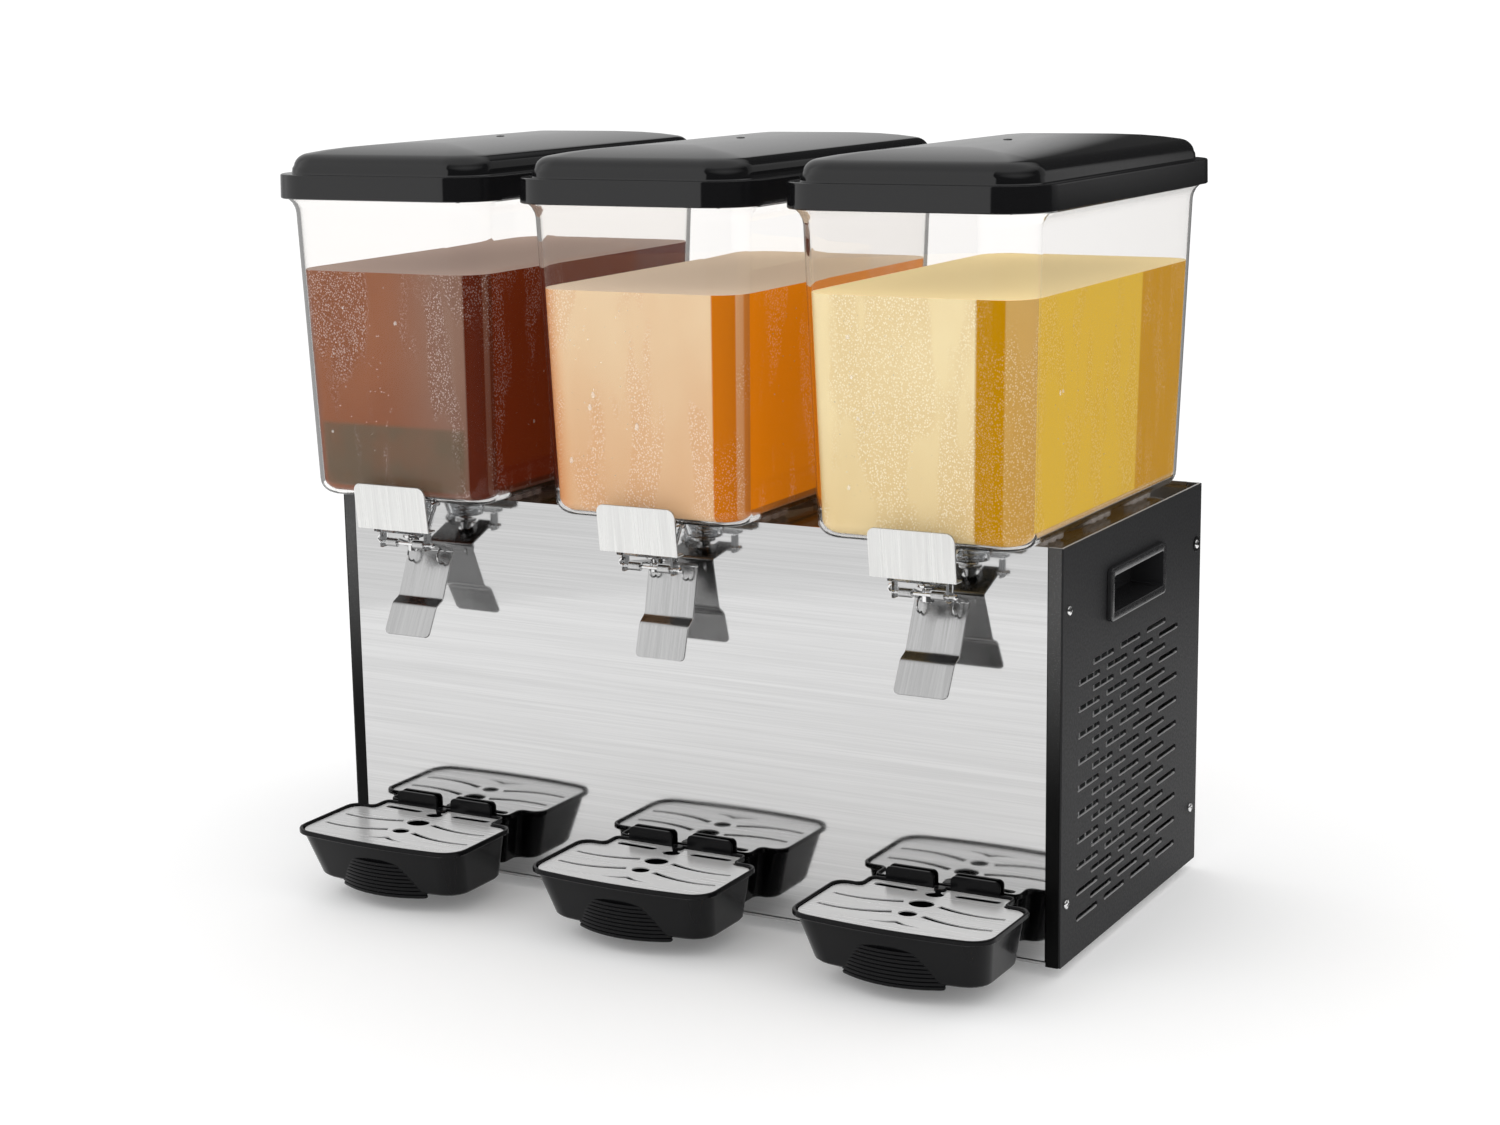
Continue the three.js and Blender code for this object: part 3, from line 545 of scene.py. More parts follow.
def juice(name, station, deep, washed, surface, bands, left_fade, side, side_glow, right=None,
          bottom=None):
    """Drink behind a misted wall, with fine beads of condensation and painted light on it.

    bands are (mm in from the right wall, share) stops: how far the front is washed out, from the
    right corner in. The wash is mist and a painted reflection of the bright room, and the bright strip
    at the corner is a painted reflection. left_fade is how many mm the left corner takes to wash out.
    side is the right wall's painted lit colour, which ends towards the back, and side_glow its extra
    painted glow. right is the washed colour next to the bands, and bottom a cloudier one low down on the
    front.
    """
    material = new_material(name, deep, 0.5, Specular_IOR_Level=0.0)
    nodes = Nodes(material.node_tree)
    normal = nodes.normal()
    place = nodes.separate(nodes.coordinates["Object"])
    on_side = nodes.ramp(normal["X"], *FACES_RIGHT)

    # How far a point is from the right wall and from the left one. The tank is drafted.
    from_centre = nodes.math("SUBTRACT", place["X"], station_x(station) / 1000)
    half = nodes.math("ADD", nodes.product(place["Z"], SIDE_DRAFT), JUICE_HALF_AT_COUNTER / 1000)
    inset = nodes.product(nodes.math("SUBTRACT", half, from_centre), 1000 / BAND_REACH)
    left_inset = nodes.product(nodes.math("ADD", half, from_centre), 1000)

    # The front is washed out by mist and by a painted reflection of the bright room, less so low down; the
    # right and the back aren't.
    mist_and_reflection = nodes.product(
        nodes.stops(inset, [(reach / BAND_REACH, share) for reach, share in bands]),
        nodes.ramp(left_inset, 0.0, left_fade),
        nodes.ramp(normal["X"], *FACES_RIGHT, 1.0, 0.0),
        nodes.ramp(normal["Y"], 0.0, 0.3, 1.0, 0.0),
        nodes.ramp(place["Z"], WASH_THIN, WASH_FULL, 0.72, 1.0))
    # Painted light: the right wall takes its own lit colour, side, which fades out towards the back.
    far_back = nodes.ramp(place["Y"], *SIDE_ENDS, 1.0, 0.08)
    cloud = nodes.ramp(nodes.noise(16, 3, (1, 1, 0.5)), 0.25, 0.75, 0.84, 1.0)
    washed_out = nodes.mix(nodes.ramp(inset, 0.25, 1.6), right, washed) if right else washed
    color = nodes.mix(nodes.product(mist_and_reflection, cloud), deep, washed_out)
    color = nodes.mix(nodes.product(on_side, far_back), color, side)
    if bottom:
        uneven = nodes.product(
            nodes.ramp(place["Z"], *SEDIMENT_TOP),
            nodes.ramp(nodes.noise(30, 3), 0.3, 0.6, 0.7, 1.0),
            nodes.ramp(nodes.product(normal["Y"], -1.0), 0.9, 0.99))
        color = nodes.mix(uneven, color, bottom)

    # Condensation beads: the mist round them is darkened as painted shade, and the beads get a painted
    # highlight.
    misted = nodes.ramp(nodes.noise(36, 2, (1, 1, 0.25)), 0.47, 0.57, 0.03, 1.0)
    beads = nodes.product(nodes.ramp(nodes.cells(700, (1, 1, 0.8)), 0.5, 0.12), misted)
    gaps = nodes.product(nodes.math("SUBTRACT", misted, beads), 0.15)
    color = nodes.mix(gaps, color, deep)
    pale = tuple(min(1.0, 0.5 * c + 0.45) for c in washed)
    color = nodes.mix(nodes.product(beads, nodes.ramp(mist_and_reflection, 0.0, 0.6, 0.18, 0.6)), color, pale)
    # Painted light: the top of the drink is painted a lighter colour, and the top and the right wall glow
    # (emission) as if lit.
    color = nodes.mix(nodes.ramp(normal["Z"], *FACES_UP), color, surface)
    glow = nodes.math("ADD", nodes.ramp(normal["Z"], *FACES_UP, 0.3, 0.58),
                      nodes.product(on_side, side_glow))
    nodes.to_shader(color, "Base Color")
    nodes.to_shader(color, "Emission Color")
    nodes.to_shader(glow, "Emission Strength")
    nodes.bump(nodes.noise(420, 4), 0.05, 0.0004)
    return material


LID_BLACK = plastic("lid_black_plastic", (0.005, 0.005, 0.0055), 0.08, 0.02, 260, 0.03)
TRAY_BLACK = plastic("tray_black_plastic", (0.005, 0.005, 0.0055), 0.18, 0.04, 300, 0.05, 0.13)
TRIM_BLACK = plastic("trim_black_plastic", (0.016, 0.016, 0.017), 0.2, 0.05)
# Both coats get a painted highlight on faces that look up.
SIDE_BLACK = powder_coat("side_panel_paint", (0.024, 0.024, 0.025), (0.034, 0.034, 0.035), 0.42, 0, 0.05)
# The flange's paint darkens to near black near the counter as painted shade.
FLANGE_BLACK = powder_coat("flange_paint", grey(0.075), grey(0.17), 0.42, 0.03, 0.1, grey(0.0005))
# The deck's brown tint is a painted reflection of the drink above it; its gloss reflects the rest.
DECK_BLACK = plastic("deck_black_with_painted_reflection", (0.045, 0.03, 0.012), 0.08, 0.03, gloss=1.0)
INSIDE_DARK = plastic("inside_dark_paint", grey(0.02), 0.6, 0.05)
RUBBER = plastic("foot_rubber", grey(0.03), 0.85, 0.05, 500, 0.2)
SILICONE = plastic("seal_silicone", (0.75, 0.73, 0.68), 0.5)
WHITE = plastic("white_plastic", (0.8, 0.8, 0.78), 0.4)
FRONT_STEEL = brushed("front_panel_steel", grey(0.565), grey(0.66), 0.06, (6, 6, 900), 0.0)
PLATE_STEEL = brushed("tap_plate_steel", (0.7, 0.7, 0.69), (0.78, 0.78, 0.765), 0.3, (900, 30, 12), 0.02)
# The lever's faces that look up get a painted dark reflection, and those that look down get painted shade.
LEVER_STEEL = brushed("lever_steel", grey(0.49), grey(0.57), 0.2, (700, 16, 16), 0.02,
                      painted_up_reflection=grey(0.12), painted_down_shade=grey(0.3))
GRATE_STEEL = brushed("grate_steel", grey(0.78), grey(0.86), 0.22, (14, 700, 10), 0.02, 0.4)
BACK_STEEL = brushed("back_panel_steel", grey(0.6), grey(0.72), 0.3, (6, 6, 700))
PAN_STEEL = brushed("base_pan_steel", grey(0.5), grey(0.62), 0.45, (30, 30, 30))
CHROME = brushed("chrome", grey(0.78), grey(0.86), 0.07, (40, 40, 40), 0.01)
ALUMINIUM = brushed("fin_aluminium", (0.55, 0.56, 0.57), (0.68, 0.69, 0.7), 0.35, (300, 20, 20))
CLEAR = clear_plastic("clear_tank_plastic", (0.985, 0.975, 0.965), 0.02)
CLEAR_SPOUT = clear_plastic("clear_spout_plastic", (0.86, 0.87, 0.88), 0.03)
FROSTED = plastic("tank_foot_plastic", (0.62, 0.58, 0.55), 0.15, 0.03, Alpha=0.35)
WATER = plastic("condensation_water", (0.9, 0.86, 0.8), 0.15, 0.03, Alpha=0.22)
# Wash stops in mm from the right wall: the narrow bright strip at the corner is a painted reflection, and the
# full wash further in is mist and painted reflection.
TEA_BANDS = [(0.5, 0.05), (0.8, 0.4), (2.1, 0.4), (2.5, 0.0), (12, 0.0), (13.2, 1.0)]
ORANGE_BANDS = [(1.1, 0.1), (1.5, 0.42), (4.1, 0.42), (4.6, 0.0), (18, 0.0), (19.2, 1.0)]
LEMON_BANDS = [(0, 0.25), (14, 0.25), (15, 0.0), (34, 0.0), (36, 1.0)]
# Each drink's surface colour and side_glow are painted light: a lighter top and a glow.
JUICES = {
    "left": juice("tea", "left", deep=(0.075, 0.012, 0.004), washed=(0.262, 0.106, 0.055),
                  surface=(0.35, 0.26, 0.22), bands=TEA_BANDS, left_fade=18, side=(0.075, 0.01, 0.003),
                  side_glow=0.46, right=(0.225, 0.135, 0.1), bottom=(0.117, 0.085, 0.057)),
    "middle": juice("orange_juice", "middle", deep=(0.467, 0.131, 0.003), washed=(0.66, 0.5, 0.32),
                    surface=(0.6, 0.47, 0.35), bands=ORANGE_BANDS, left_fade=26,
                    side=(0.48, 0.135, 0.003), side_glow=0.56),
    "right": juice("lemon_juice", "right", deep=(0.4, 0.19, 0.0), washed=(0.745, 0.64, 0.39),
                   surface=(0.8, 0.63, 0.33), bands=LEMON_BANDS, left_fade=13, side=(0.54, 0.34, 0.03),
                   side_glow=0.2),
}


# ---- tanks, drink and lids ----
def make_lid(station, x):
    """A skirt round the tank's rim, a step, and a pillow top with an injection gate at its middle."""
    ledge = TANK_RIM + 0.4
    shoulder = LID_STEP + 4
    shoulder_r = 11
    gate_y = 110
    under = [(LID_TOP - 8, 36, 0.6), (LID_TOP - 9, 20, 0.6), (ledge, 12.5, 1), (ledge, 3, 1)]
    skirt = [
        (LID_BOTTOM, 2.6, 1), (LID_BOTTOM, 0.7, 1), (LID_BOTTOM + 0.7, 0, 1), (LID_STEP - 1.2, 0.4, 1),
        (LID_STEP - 0.35, 0.75, 1), (LID_STEP, 1.6, 1), (LID_STEP, 8.8, 1), (LID_STEP + 0.6, 9.4, 1),
        (shoulder, 9.8, 1),
    ]
    turn_in = []
    for degrees in range(10, 81, 10):
        angle = radians(degrees)
        inset = 9.9 + shoulder_r * (1 - cos(angle))
        turn_in.append((shoulder + shoulder_r * sin(angle), inset, 0.75))
    crown = [(5.4, 23, 0.7), (4, 31, 0.65), (2.4, 44, 0.6), (1.1, 60, 0.5), (0.3, 76, 0.42), (0, 90, 0.36)]
    levels = under + skirt + turn_in + [(LID_TOP - down, inset, keep) for down, inset, keep in crown]
    shell = loft("shell", [level_ring(LID_SKIRT, x, z, inset, keep, 10) for z, inset, keep in levels])
    gate = lathe("gate", [(3.4, -0.6), (3.4, 0.1), (2.8, 0.5), (1.2, 0.6), (0.9, 0.2)],
                 (x, gate_y, LID_TOP), sides=20)
    lid = join_pieces(f"{station}_lid_shell", [shell, gate])
    finish_piece(lid, LID_BLACK, f"{station}_lid_body", [f"{station}_lid"], 38, casts_shadow=False)


def make_tank(station, x):
    """An open clear box with a rounded floor, drafted walls and a flared rim."""
    fillet = quarter_round(12, 15)
    fillet_in = 0.8
    inner_floor = TANK_FLOOR + TANK_WALL
    flare = [(0, 0), (0.12, 4), (0.45, 8), (0.85, 10.5), (1, 12)]
    flare = [(between(TANK_HIGH, TANK_FLARE, share), TANK_WALL_TOP + up) for share, up in flare]
    rings = [level_ring(TANK_LOW, x, TANK_FLOOR + up, inset) for inset, up in fillet]
    rings += [level_ring(shape, x, z) for shape, z in flare]
    for down, inset in ((0.6, 0), (0, 0.6), (0, 2.4), (0.6, TANK_WALL)):
        rings.append(level_ring(TANK_FLARE, x, TANK_RIM - down, inset))
    rings += [level_ring(shape, x, z, TANK_WALL) for shape, z in reversed(flare)]
    for inset, up in reversed(fillet):
        rings.append(level_ring(TANK_LOW, x, inner_floor + up * fillet_in, TANK_WALL + inset * fillet_in))
    shell = loft(f"{station}_tank_shell", rings)
    subtract(
        shell,
        lathe("hole", [(COOLER_R + 3, -6), (COOLER_R + 3, 9)], (x, COOLER_Y, TANK_FLOOR)),
        lathe("hole", [(8, -6), (8, 9)], (x + TAP_X, TAP_Y, TANK_FLOOR)))
    finish_piece(shell, CLEAR, f"{station}_tank_body", [f"{station}_tank"], casts_shadow=False)


def make_tank_ribs(station, x):
    """Clear feet along the tank's underside, each a short run of upright ribs."""
    feet = (4, 96, 180)
    foot_length = 42
    ribs = []
    for side in (-1, 1):
        web = x + side * 67.5
        rib = x + side * 71
        for y in feet:
            ribs.append(block("web", (web - 1.5, web + 1.5), (y, y + foot_length),
                              (DECK_TOP + 0.4, TANK_FLOOR - 0.05), 0.4))
            for low in (y + 3, y + 17, y + 31):
                ribs.append(block("rib", (rib - 2, rib + 2), (low, low + 8),
                                  (DECK_TOP + 1.2, TANK_FLOOR + 0.6), 0.8))
    piece = join_pieces(f"{station}_tank_ribs", ribs)
    finish_piece(piece, FROSTED, f"{station}_tank_body", casts_shadow=False)


def make_juice(station, x):
    """The drink: it fills the tank round the evaporator, with a thin raised edge where it wets the wall."""
    level = JUICE_LEVEL[station]
    gap = TANK_WALL + JUICE_GAP
    drum_r = COOLER_R + 3.2
    surface = tank_shape(level)
    floor = TANK_FLOOR + gap
    rings = [level_ring(TANK_LOW, x, floor + up, gap + inset) for inset, up in quarter_round(9, 18)]
    half_way = 420
    rings += [level_ring(tank_shape(z), x, z, gap) for z in (half_way, level - 0.2)]
    rings += [level_ring(surface, x, level + 0.6, gap), level_ring(surface, x, level, gap + 1.2)]
    body = loft(f"{station}_juice", rings)
    drum = lathe("drum", [(drum_r, -9), (drum_r, 55), (42, 58), (42, 76)], (x, COOLER_Y, TANK_FLOOR))
    subtract(body, drum)
    finish_piece(body, JUICES[station], f"{station}_tank_body")


BEAD_SIDES = 8
BEAD_RINGS = ((1.0, -0.1), (0.85, 0.3), (0.45, 0.55))


def bead(place, out, along, size, length):
    """Points of a flat drop on a wall, wide across along and length tall."""
    points = []
    for share, rise in BEAD_RINGS:
        for angle in turns(BEAD_SIDES):
            drop = sin(angle) * length * (1 if sin(angle) > 0 else 0.5)
            across = along * (cos(angle) * size * share)
            points.append(place + across + Vector((0, 0, drop * share)) + out * (rise * size))
    return points


def make_condensation(station, x):
    """Beads and runs of water on the outside of the tank's front and right walls."""
    drops = 80
    large_drops = 6
    rng = random.Random(STATIONS.index(station) + 5)
    verts = []
    faces = []
    for i in range(drops):
        large = i < large_drops
        size = rng.uniform(1.1, 1.7) if large else rng.uniform(0.3, 0.7)
        length = size * (rng.uniform(1.3, 2.6) if large else rng.uniform(1.0, 1.5))
        z = rng.uniform(TANK_FLOOR + 30, JUICE_LEVEL[station] - 10)
        shape = tank_shape(z)
        if rng.random() < 0.6:
            place = Vector((x + rng.gauss(rng.choice((-42, -8)), 9), shape["front"], z))
            out, along = Vector((0, -1, 0)), Vector((1, 0, 0))
        else:
            place = Vector((x + shape["half_x"], rng.gauss(rng.choice((20, 95)), 14), z))
            out, along = Vector((1, 0, 0)), Vector((0, 1, 0))
        faces += [tuple(len(verts) + k for k in face) for face in skin(len(BEAD_RINGS), BEAD_SIDES)]
        verts += [at(*point) for point in bead(place, out, along, size, length)]
    piece = new_mesh(f"{station}_condensation", verts, faces)
    finish_piece(piece, WATER, f"{station}_tank_body", sharp=180, casts_shadow=False)


def make_cooler(station, x):
    """The evaporator: a drum with a thin shaft for the agitator on top."""
    top = TANK_FLOOR + 54
    foot = DECK_TOP + 0.3
    drum = lathe(
        f"{station}_evaporator_drum",
        [(48.5, foot), (COOLER_R, foot), (COOLER_R, top - 6), (49.2, top - 3), (47, top - 0.8), (44, top),
         (3, top), (3, top + 12.6), (2.4, top + 13), (0.3, top + 13)],
        (x, COOLER_Y, 0), sides=64)
    finish_piece(drum, GRATE_STEEL, "cabinet", [f"{station}_evaporator"])


# ---- taps ----
def make_tap_plate(station, x):
    """A leaning plate in front of the tap, with a lip that rests on the spout's bracket."""
    half = 33
    height = 36
    sheet = 1.6
    front = -61.2
    lip_z = BRACKET_Z + 3.3
    outline = rounded_corners([[-half, 0, 0.8], [half, 0, 0.8], [half, height, 6], [-half, height, 6]], 8)
    lean = Matrix.Rotation(radians(7), 4, "X")
    place = Matrix.Translation(at(x, front, lip_z)) @ lean @ UPRIGHT
    face = punched_sheet("face", outline, [], sheet, place, 0.3)
    lip = block("lip", (x - half, x + half), (front - 0.7, front + 8.6), (lip_z, lip_z + sheet), 0.5)
    piece = join_pieces(f"{station}_tap_plate_sheet", [face, lip])
    finish_piece(piece, PLATE_STEEL, f"{station}_tank_body", [f"{station}_tap_plate"])


def make_spout(station, x):
    """The clear cone that the plunger closes, and a bracket with lugs for the lever's pin."""
    top = TANK_FLOOR - 0.3
    cone = lathe(
        f"{station}_spout_cone",
        [(10.2, BRACKET_Z), (14, BRACKET_Z), (19.5, top - 6), (22, top - 5), (22, top), (15.5, top),
         (15.5, top - 6), (10.2, BRACKET_Z + 0.5)],
        (x, TAP_Y, 0), sides=48)
    finish_piece(cone, CLEAR_SPOUT, f"{station}_tank_body", [f"{station}_tap_spout"], casts_shadow=False)
    half = 22
    lug = 2.5
    bar_tall = (SPRING_BAR_Z, SPRING_BAR_Z + 2.8)
    tall = (PIVOT_Z - 4, BRACKET_Z + 0.6)
    parts = []
    for across in ((x - half, x - half + lug), (x + half - lug, x + half)):
        parts.append(block("lug", across, (PIVOT_Y - 4, PIVOT_Y + 4), tall, 0.7))
    parts.append(block("bracket", (x - half, x + half), (-57, TAP_Y - 11), (BRACKET_Z, BRACKET_Z + 2.8), 0.6))
    parts.append(block("bar", (x - 15, x + 15), (TAP_Y - 2, TAP_Y + 2), bar_tall, 0.4))
    bracket = join_pieces(f"{station}_spout_bracket", parts)
    finish_piece(bracket, CLEAR_SPOUT, f"{station}_tank_body", casts_shadow=False)


def make_pin(station, x):
    """The pivot wire: straight through the lugs, hooked up at its left end, with a head at its right."""
    hook = 2.6
    left, right = x - 23, x + 25
    points = [(right, PIVOT_Y, PIVOT_Z), (left, PIVOT_Y, PIVOT_Z)]
    for degrees in range(15, 196, 15):
        angle = radians(degrees)
        points.append((left - hook * sin(angle), PIVOT_Y, PIVOT_Z + hook * (1 - cos(angle))))
    wire = tube("wire", points, 1.2)
    knob = lathe("knob", [(0.4, -1.2), (1.8, -1), (2.1, -0.3), (2.1, 0.6), (1.6, 1.2), (0.4, 1.4)],
                 (right, PIVOT_Y, PIVOT_Z), "x", 20)
    piece = join_pieces(f"{station}_pin_wire", [wire, knob])
    finish_piece(piece, CHROME, f"{station}_tank_body", [f"{station}_tap_pin"])


def bent_strip(line, thickness, half_x, corner):
    """Rings for a sheet along bent (y, z) points, with rounded bends and its last corners rounded."""
    bend = 2.2
    edge = 0.35
    samples = [(Vector(line[0]), half_x)]
    for i in range(1, len(line) - 1):
        here = Vector(line[i])
        start = here + (Vector(line[i - 1]) - here).normalized() * bend
        end = here + (Vector(line[i + 1]) - here).normalized() * bend
        for t in (0, 0.25, 0.5, 0.75, 1):
            samples.append((start * (1 - t) ** 2 + here * 2 * t * (1 - t) + end * t * t, half_x))
    last = Vector(line[-1])
    onwards = (last - Vector(line[-2])).normalized()
    for degrees in (0, 20, 40, 60, 80, 90):
        turn = radians(degrees)
        back = corner * (1 - sin(turn))
        samples.append((last - onwards * back, half_x - corner * (1 - cos(turn))))
    rings = []
    for i, (point, half) in enumerate(samples):
        ahead = samples[min(i + 1, len(samples) - 1)][0]
        behind = samples[max(i - 1, 0)][0]
        along = (ahead - behind).normalized()
        normal = Vector((-along.y, along.x)) * thickness / 2
        section = [(-half, -1 + edge), (-half + edge, -1), (half - edge, -1), (half, -1 + edge)]
        section += [(half, 1 - edge), (half - edge, 1), (-half + edge, 1), (-half, 1 - edge)]
        rings.append([at(u, point.x + normal.x * w, point.y + normal.y * w) for u, w in section])
    return rings


def wire_ring(x, y, z, radius, wire):
    """Rings for a round loop of wire that stands across x."""
    rings = []
    for turn in turns(32):
        ring = []
        for around in turns(8):
            reach = radius + wire * cos(around)
            across = x + wire * sin(around)
            ring.append(at(across, y + reach * cos(turn), z + reach * sin(turn)))
        rings.append(ring)
    return rings


def make_lever(station, x, tilt):
    """One bent sheet, made at x = 0 and tilted about its pin: web, upper plate, jog and paddle, with ears."""
    line = [(-46, 286.95), (-12.5, 274), (-29, 237.5), (-38, 233.5), (-50, 211.5)]
    notch = 6.3
    across_web = (PIVOT_Z - 12, PIVOT_Z + 20)
    parts = [loft("sheet", bent_strip(line, 1.6, 21, 4))]
    for side in (-1, 1):
        parts.append(loft("ear", wire_ring(side * 14, -19, 270, 5.8, 0.75), closed=True))
        parts.append(lathe("knuckle", [(1.3, -5), (2.9, -5), (3.2, -4.7), (3.2, 4.7), (2.9, 5), (1.3, 5)],
                           (side * 12.5, PIVOT_Y, PIVOT_Z), "x", 24))
    piece = join_pieces(f"{station}_lever_sheet", parts)
    slots = []
    for slot_x in (-20.8, 20.8):
        slots.append(box("slot", (slot_x - 2.1, slot_x + 2.1), (PIVOT_Y - 9, PIVOT_Y + 8), across_web))
    slots.append(lathe("slot", [(notch, -14), (notch, 14)], (0, TAP_Y, PIVOT_Z), sides=32))
    slots.append(box("slot", (-notch, notch), (PIVOT_Y - 9, TAP_Y), across_web))
    subtract(piece, *slots)
    turn = Matrix.Rotation(radians(tilt), 4, "X")
    from_pin = Matrix.Translation(-at(0, PIVOT_Y, PIVOT_Z))
    piece.data.transform(Matrix.Translation(at(x, PIVOT_Y, PIVOT_Z)) @ turn @ from_pin)
    finish_piece(piece, LEVER_STEEL, f"{station}_lever_body", [f"{station}_tap_lever"], 40)


def make_plunger(station, x, lift):
    """A valve tube with a collar for the spring and a thin stem."""
    profile = [
        (3.2, 6), (3.4, 0), (4.1, 0), (4.5, 0.5), (4.5, 11), (8.2, 11), (8.4, 11.3), (8.4, 12.8),
        (8.2, COLLAR_UP), (2.5, COLLAR_UP), (2.5, 23), (0.5, 23),
    ]
    piece = lathe(f"{station}_plunger_tube", profile, (x, TAP_Y, PLUNGER_LOW + lift), sides=36)
    finish_piece(piece, CHROME, f"{station}_plunger_body", [f"{station}_tap_plunger"])


def make_spring(station, x, lift):
    """The coil that closes the valve. It shortens between the plunger's collar and the bar over it."""
    wire = 0.7
    gap = 0.3
    radius = 6
    coils = 4.5
    steps = 72
    low = PLUNGER_LOW + COLLAR_UP + lift + gap + wire
    high = SPRING_BAR_Z - gap - wire
    points = []
    for i in range(steps + 1):
        share = i / steps
        angle = share * coils * 2 * pi
        points.append((x + radius * cos(angle), TAP_Y + radius * sin(angle),
                       low + (high - low) * share))
    piece = tube(f"{station}_spring_coil", points, wire, 8)
    finish_piece(piece, CHROME, f"{station}_tank_body", [f"{station}_tap_spring"])
    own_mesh(piece)


# ---- drip trays ----
def tray_outline(inset, draft=0.0):
    """A wide part with a bowed front, and a narrower tongue that reaches back to the panel."""
    tongue_back = -1.5 - inset
    tongue_front = -20 - inset
    main = TRAY_HALF - inset - draft * 0.55
    tongue = 58 - inset - draft * 0.3
    front = TRAY_FRONT + inset + draft
    corner = max(6 - inset, 1.5)
    corners = [[tongue, tongue_back, corner], [-tongue, tongue_back, corner]]
    corners += [[-tongue, tongue_front, 5], [-main, tongue_front, 10], [-main, front, 17]]
    for i in range(1, 8):
        share = i / 4 - 1
        corners.append([main * share, front - TRAY_BOW * (1 - share * share), 0])
    corners += [[main, front, 17], [main, tongue_front, 10], [tongue, tongue_front, 5]]
    return rounded_corners(corners)


def make_tray(station, x):
    """A thin shell with a rolled rim, a grip under its front and two tabs with pegs at its back."""
    wall = 2.5
    down_outside = [(5, 3), (4.4, 2.2), (4, 0.5), (3.4, 0), (0.9, 0), (0.2, 0.3), (0, 0.9)]
    down_inside = [(0.1, 1.7), (0.7, 2.2), (3.5, 2.4), (3.6, 3 + wall)]
    levels = [(TRAY_FLOOR_Z, 5, 16), (TRAY_FLOOR_Z + 0.8, 3, 15.4), (TRAY_FLOOR_Z + 3, 2, 14)]
    levels += [(TRAY_RIM_Z - down, inset, 0) for down, inset in down_outside + down_inside]
    levels += [(TRAY_FLOOR_Z + 5, 2 + wall, 14), (TRAY_FLOOR_Z + wall, 4 + wall, 16)]
    rings = [[at(x + u, v, z) for u, v in tray_outline(inset, draft)] for z, inset, draft in levels]
    parts = [loft("shell", rings), make_tray_grip(x)]
    peg_tall = (TRAY_RIM_Z + 3, TRAY_RIM_Z + 5.4)
    half = 19.3
    outline = rounded_corners([[-half, -6, 0.5], [half, -6, 0.5], [half, 9.4, 4], [-half, 9.4, 4]])
    for middle in (x - 26, x + 26):
        place = Matrix.Translation(at(middle, -3.4, TRAY_RIM_Z)) @ UPRIGHT
        parts.append(punched_sheet("tab", outline, [], 2.6, place, 0.4))
        parts.append(block("peg", (middle - 13, middle + 13), (-3, 8), peg_tall, 0.4))
    parts.append(lathe("pip", [(4.6, -0.6), (4.6, 3.6), (3.8, 4.2), (0.5, 4.3)],
                       (x, -7.4, TRAY_RIM_Z - 4), sides=24))
    tray = join_pieces(f"{station}_tray_shell", parts)
    finish_piece(tray, TRAY_BLACK, f"{station}_tray_body", [f"{station}_drip_tray"])


def tray_wall_y(u, z):
    """Where the tray's sloping front wall is, at u from its middle and height z."""
    bow = TRAY_BOW * (1 - (u / TRAY_HALF) ** 2)
    return TRAY_FRONT - bow + 16 - 13 * (z - TRAY_FLOOR_Z - 3) / 34


def make_tray_grip(x):
    """The ribbed bulge under the tray's front: an upright curve that the sloping wall meets in an arch."""
    radius = 81
    steps = 24
    rib_count = 9
    low = TRAY_FLOOR_Z - 3.4
    high = TRAY_RIM_Z - 16.5
    rings = []
    for i in range(rib_count):
        for share, inset in ((0.0, 1.0), (0.2, 0.1), (0.6, 0.0), (0.85, 0.3)):
            t = (i + share) / rib_count
            z = low + (high - low) * t
            front = -97.2 - 4.6 * t + inset

            def face(u):
                return front + radius - math.sqrt(radius * radius - u * u)

            half = 4.0
            while half < 47 and face(half) < tray_wall_y(half, max(z, TRAY_FLOOR_Z)) + 1.2:
                half += 0.25
            ring = []
            for k in range(steps + 1):
                u = half * (2 * k / steps - 1)
                ring.append(at(x + u, face(u), z))
            back = face(half) + 2
            ring += [at(x + half, back, z), at(x - half, back, z)]
            rings.append(ring)
    return loft("grip", rings)


def bent_slot(start, middle, end, widths):
    """A slot along a curved centre line, with its half width at each end."""
    steps = 8
    a, b, c = Vector(start), Vector(middle), Vector(end)
    left, right = [], []
    for i in range(steps + 1):
        t = i / steps
        point = a * (1 - t) ** 2 + b * 2 * t * (1 - t) + c * t * t
        along = ((b - a) * (1 - t) + (c - b) * t).normalized()
        across = Vector((-along.y, along.x)) * (widths[0] + (widths[1] - widths[0]) * t)
        left.append(tuple(point + across))
        right.append(tuple(point - across))
    return left + right[::-1]


def obround(start, end, half):
    """A straight slot with round ends, in (u, v)."""
    angle = math.degrees(math.atan2(end[1] - start[1], end[0] - start[0]))
    return arc(end, half, angle - 90, angle + 90, 6) + arc(start, half, angle + 90, angle + 270, 6)


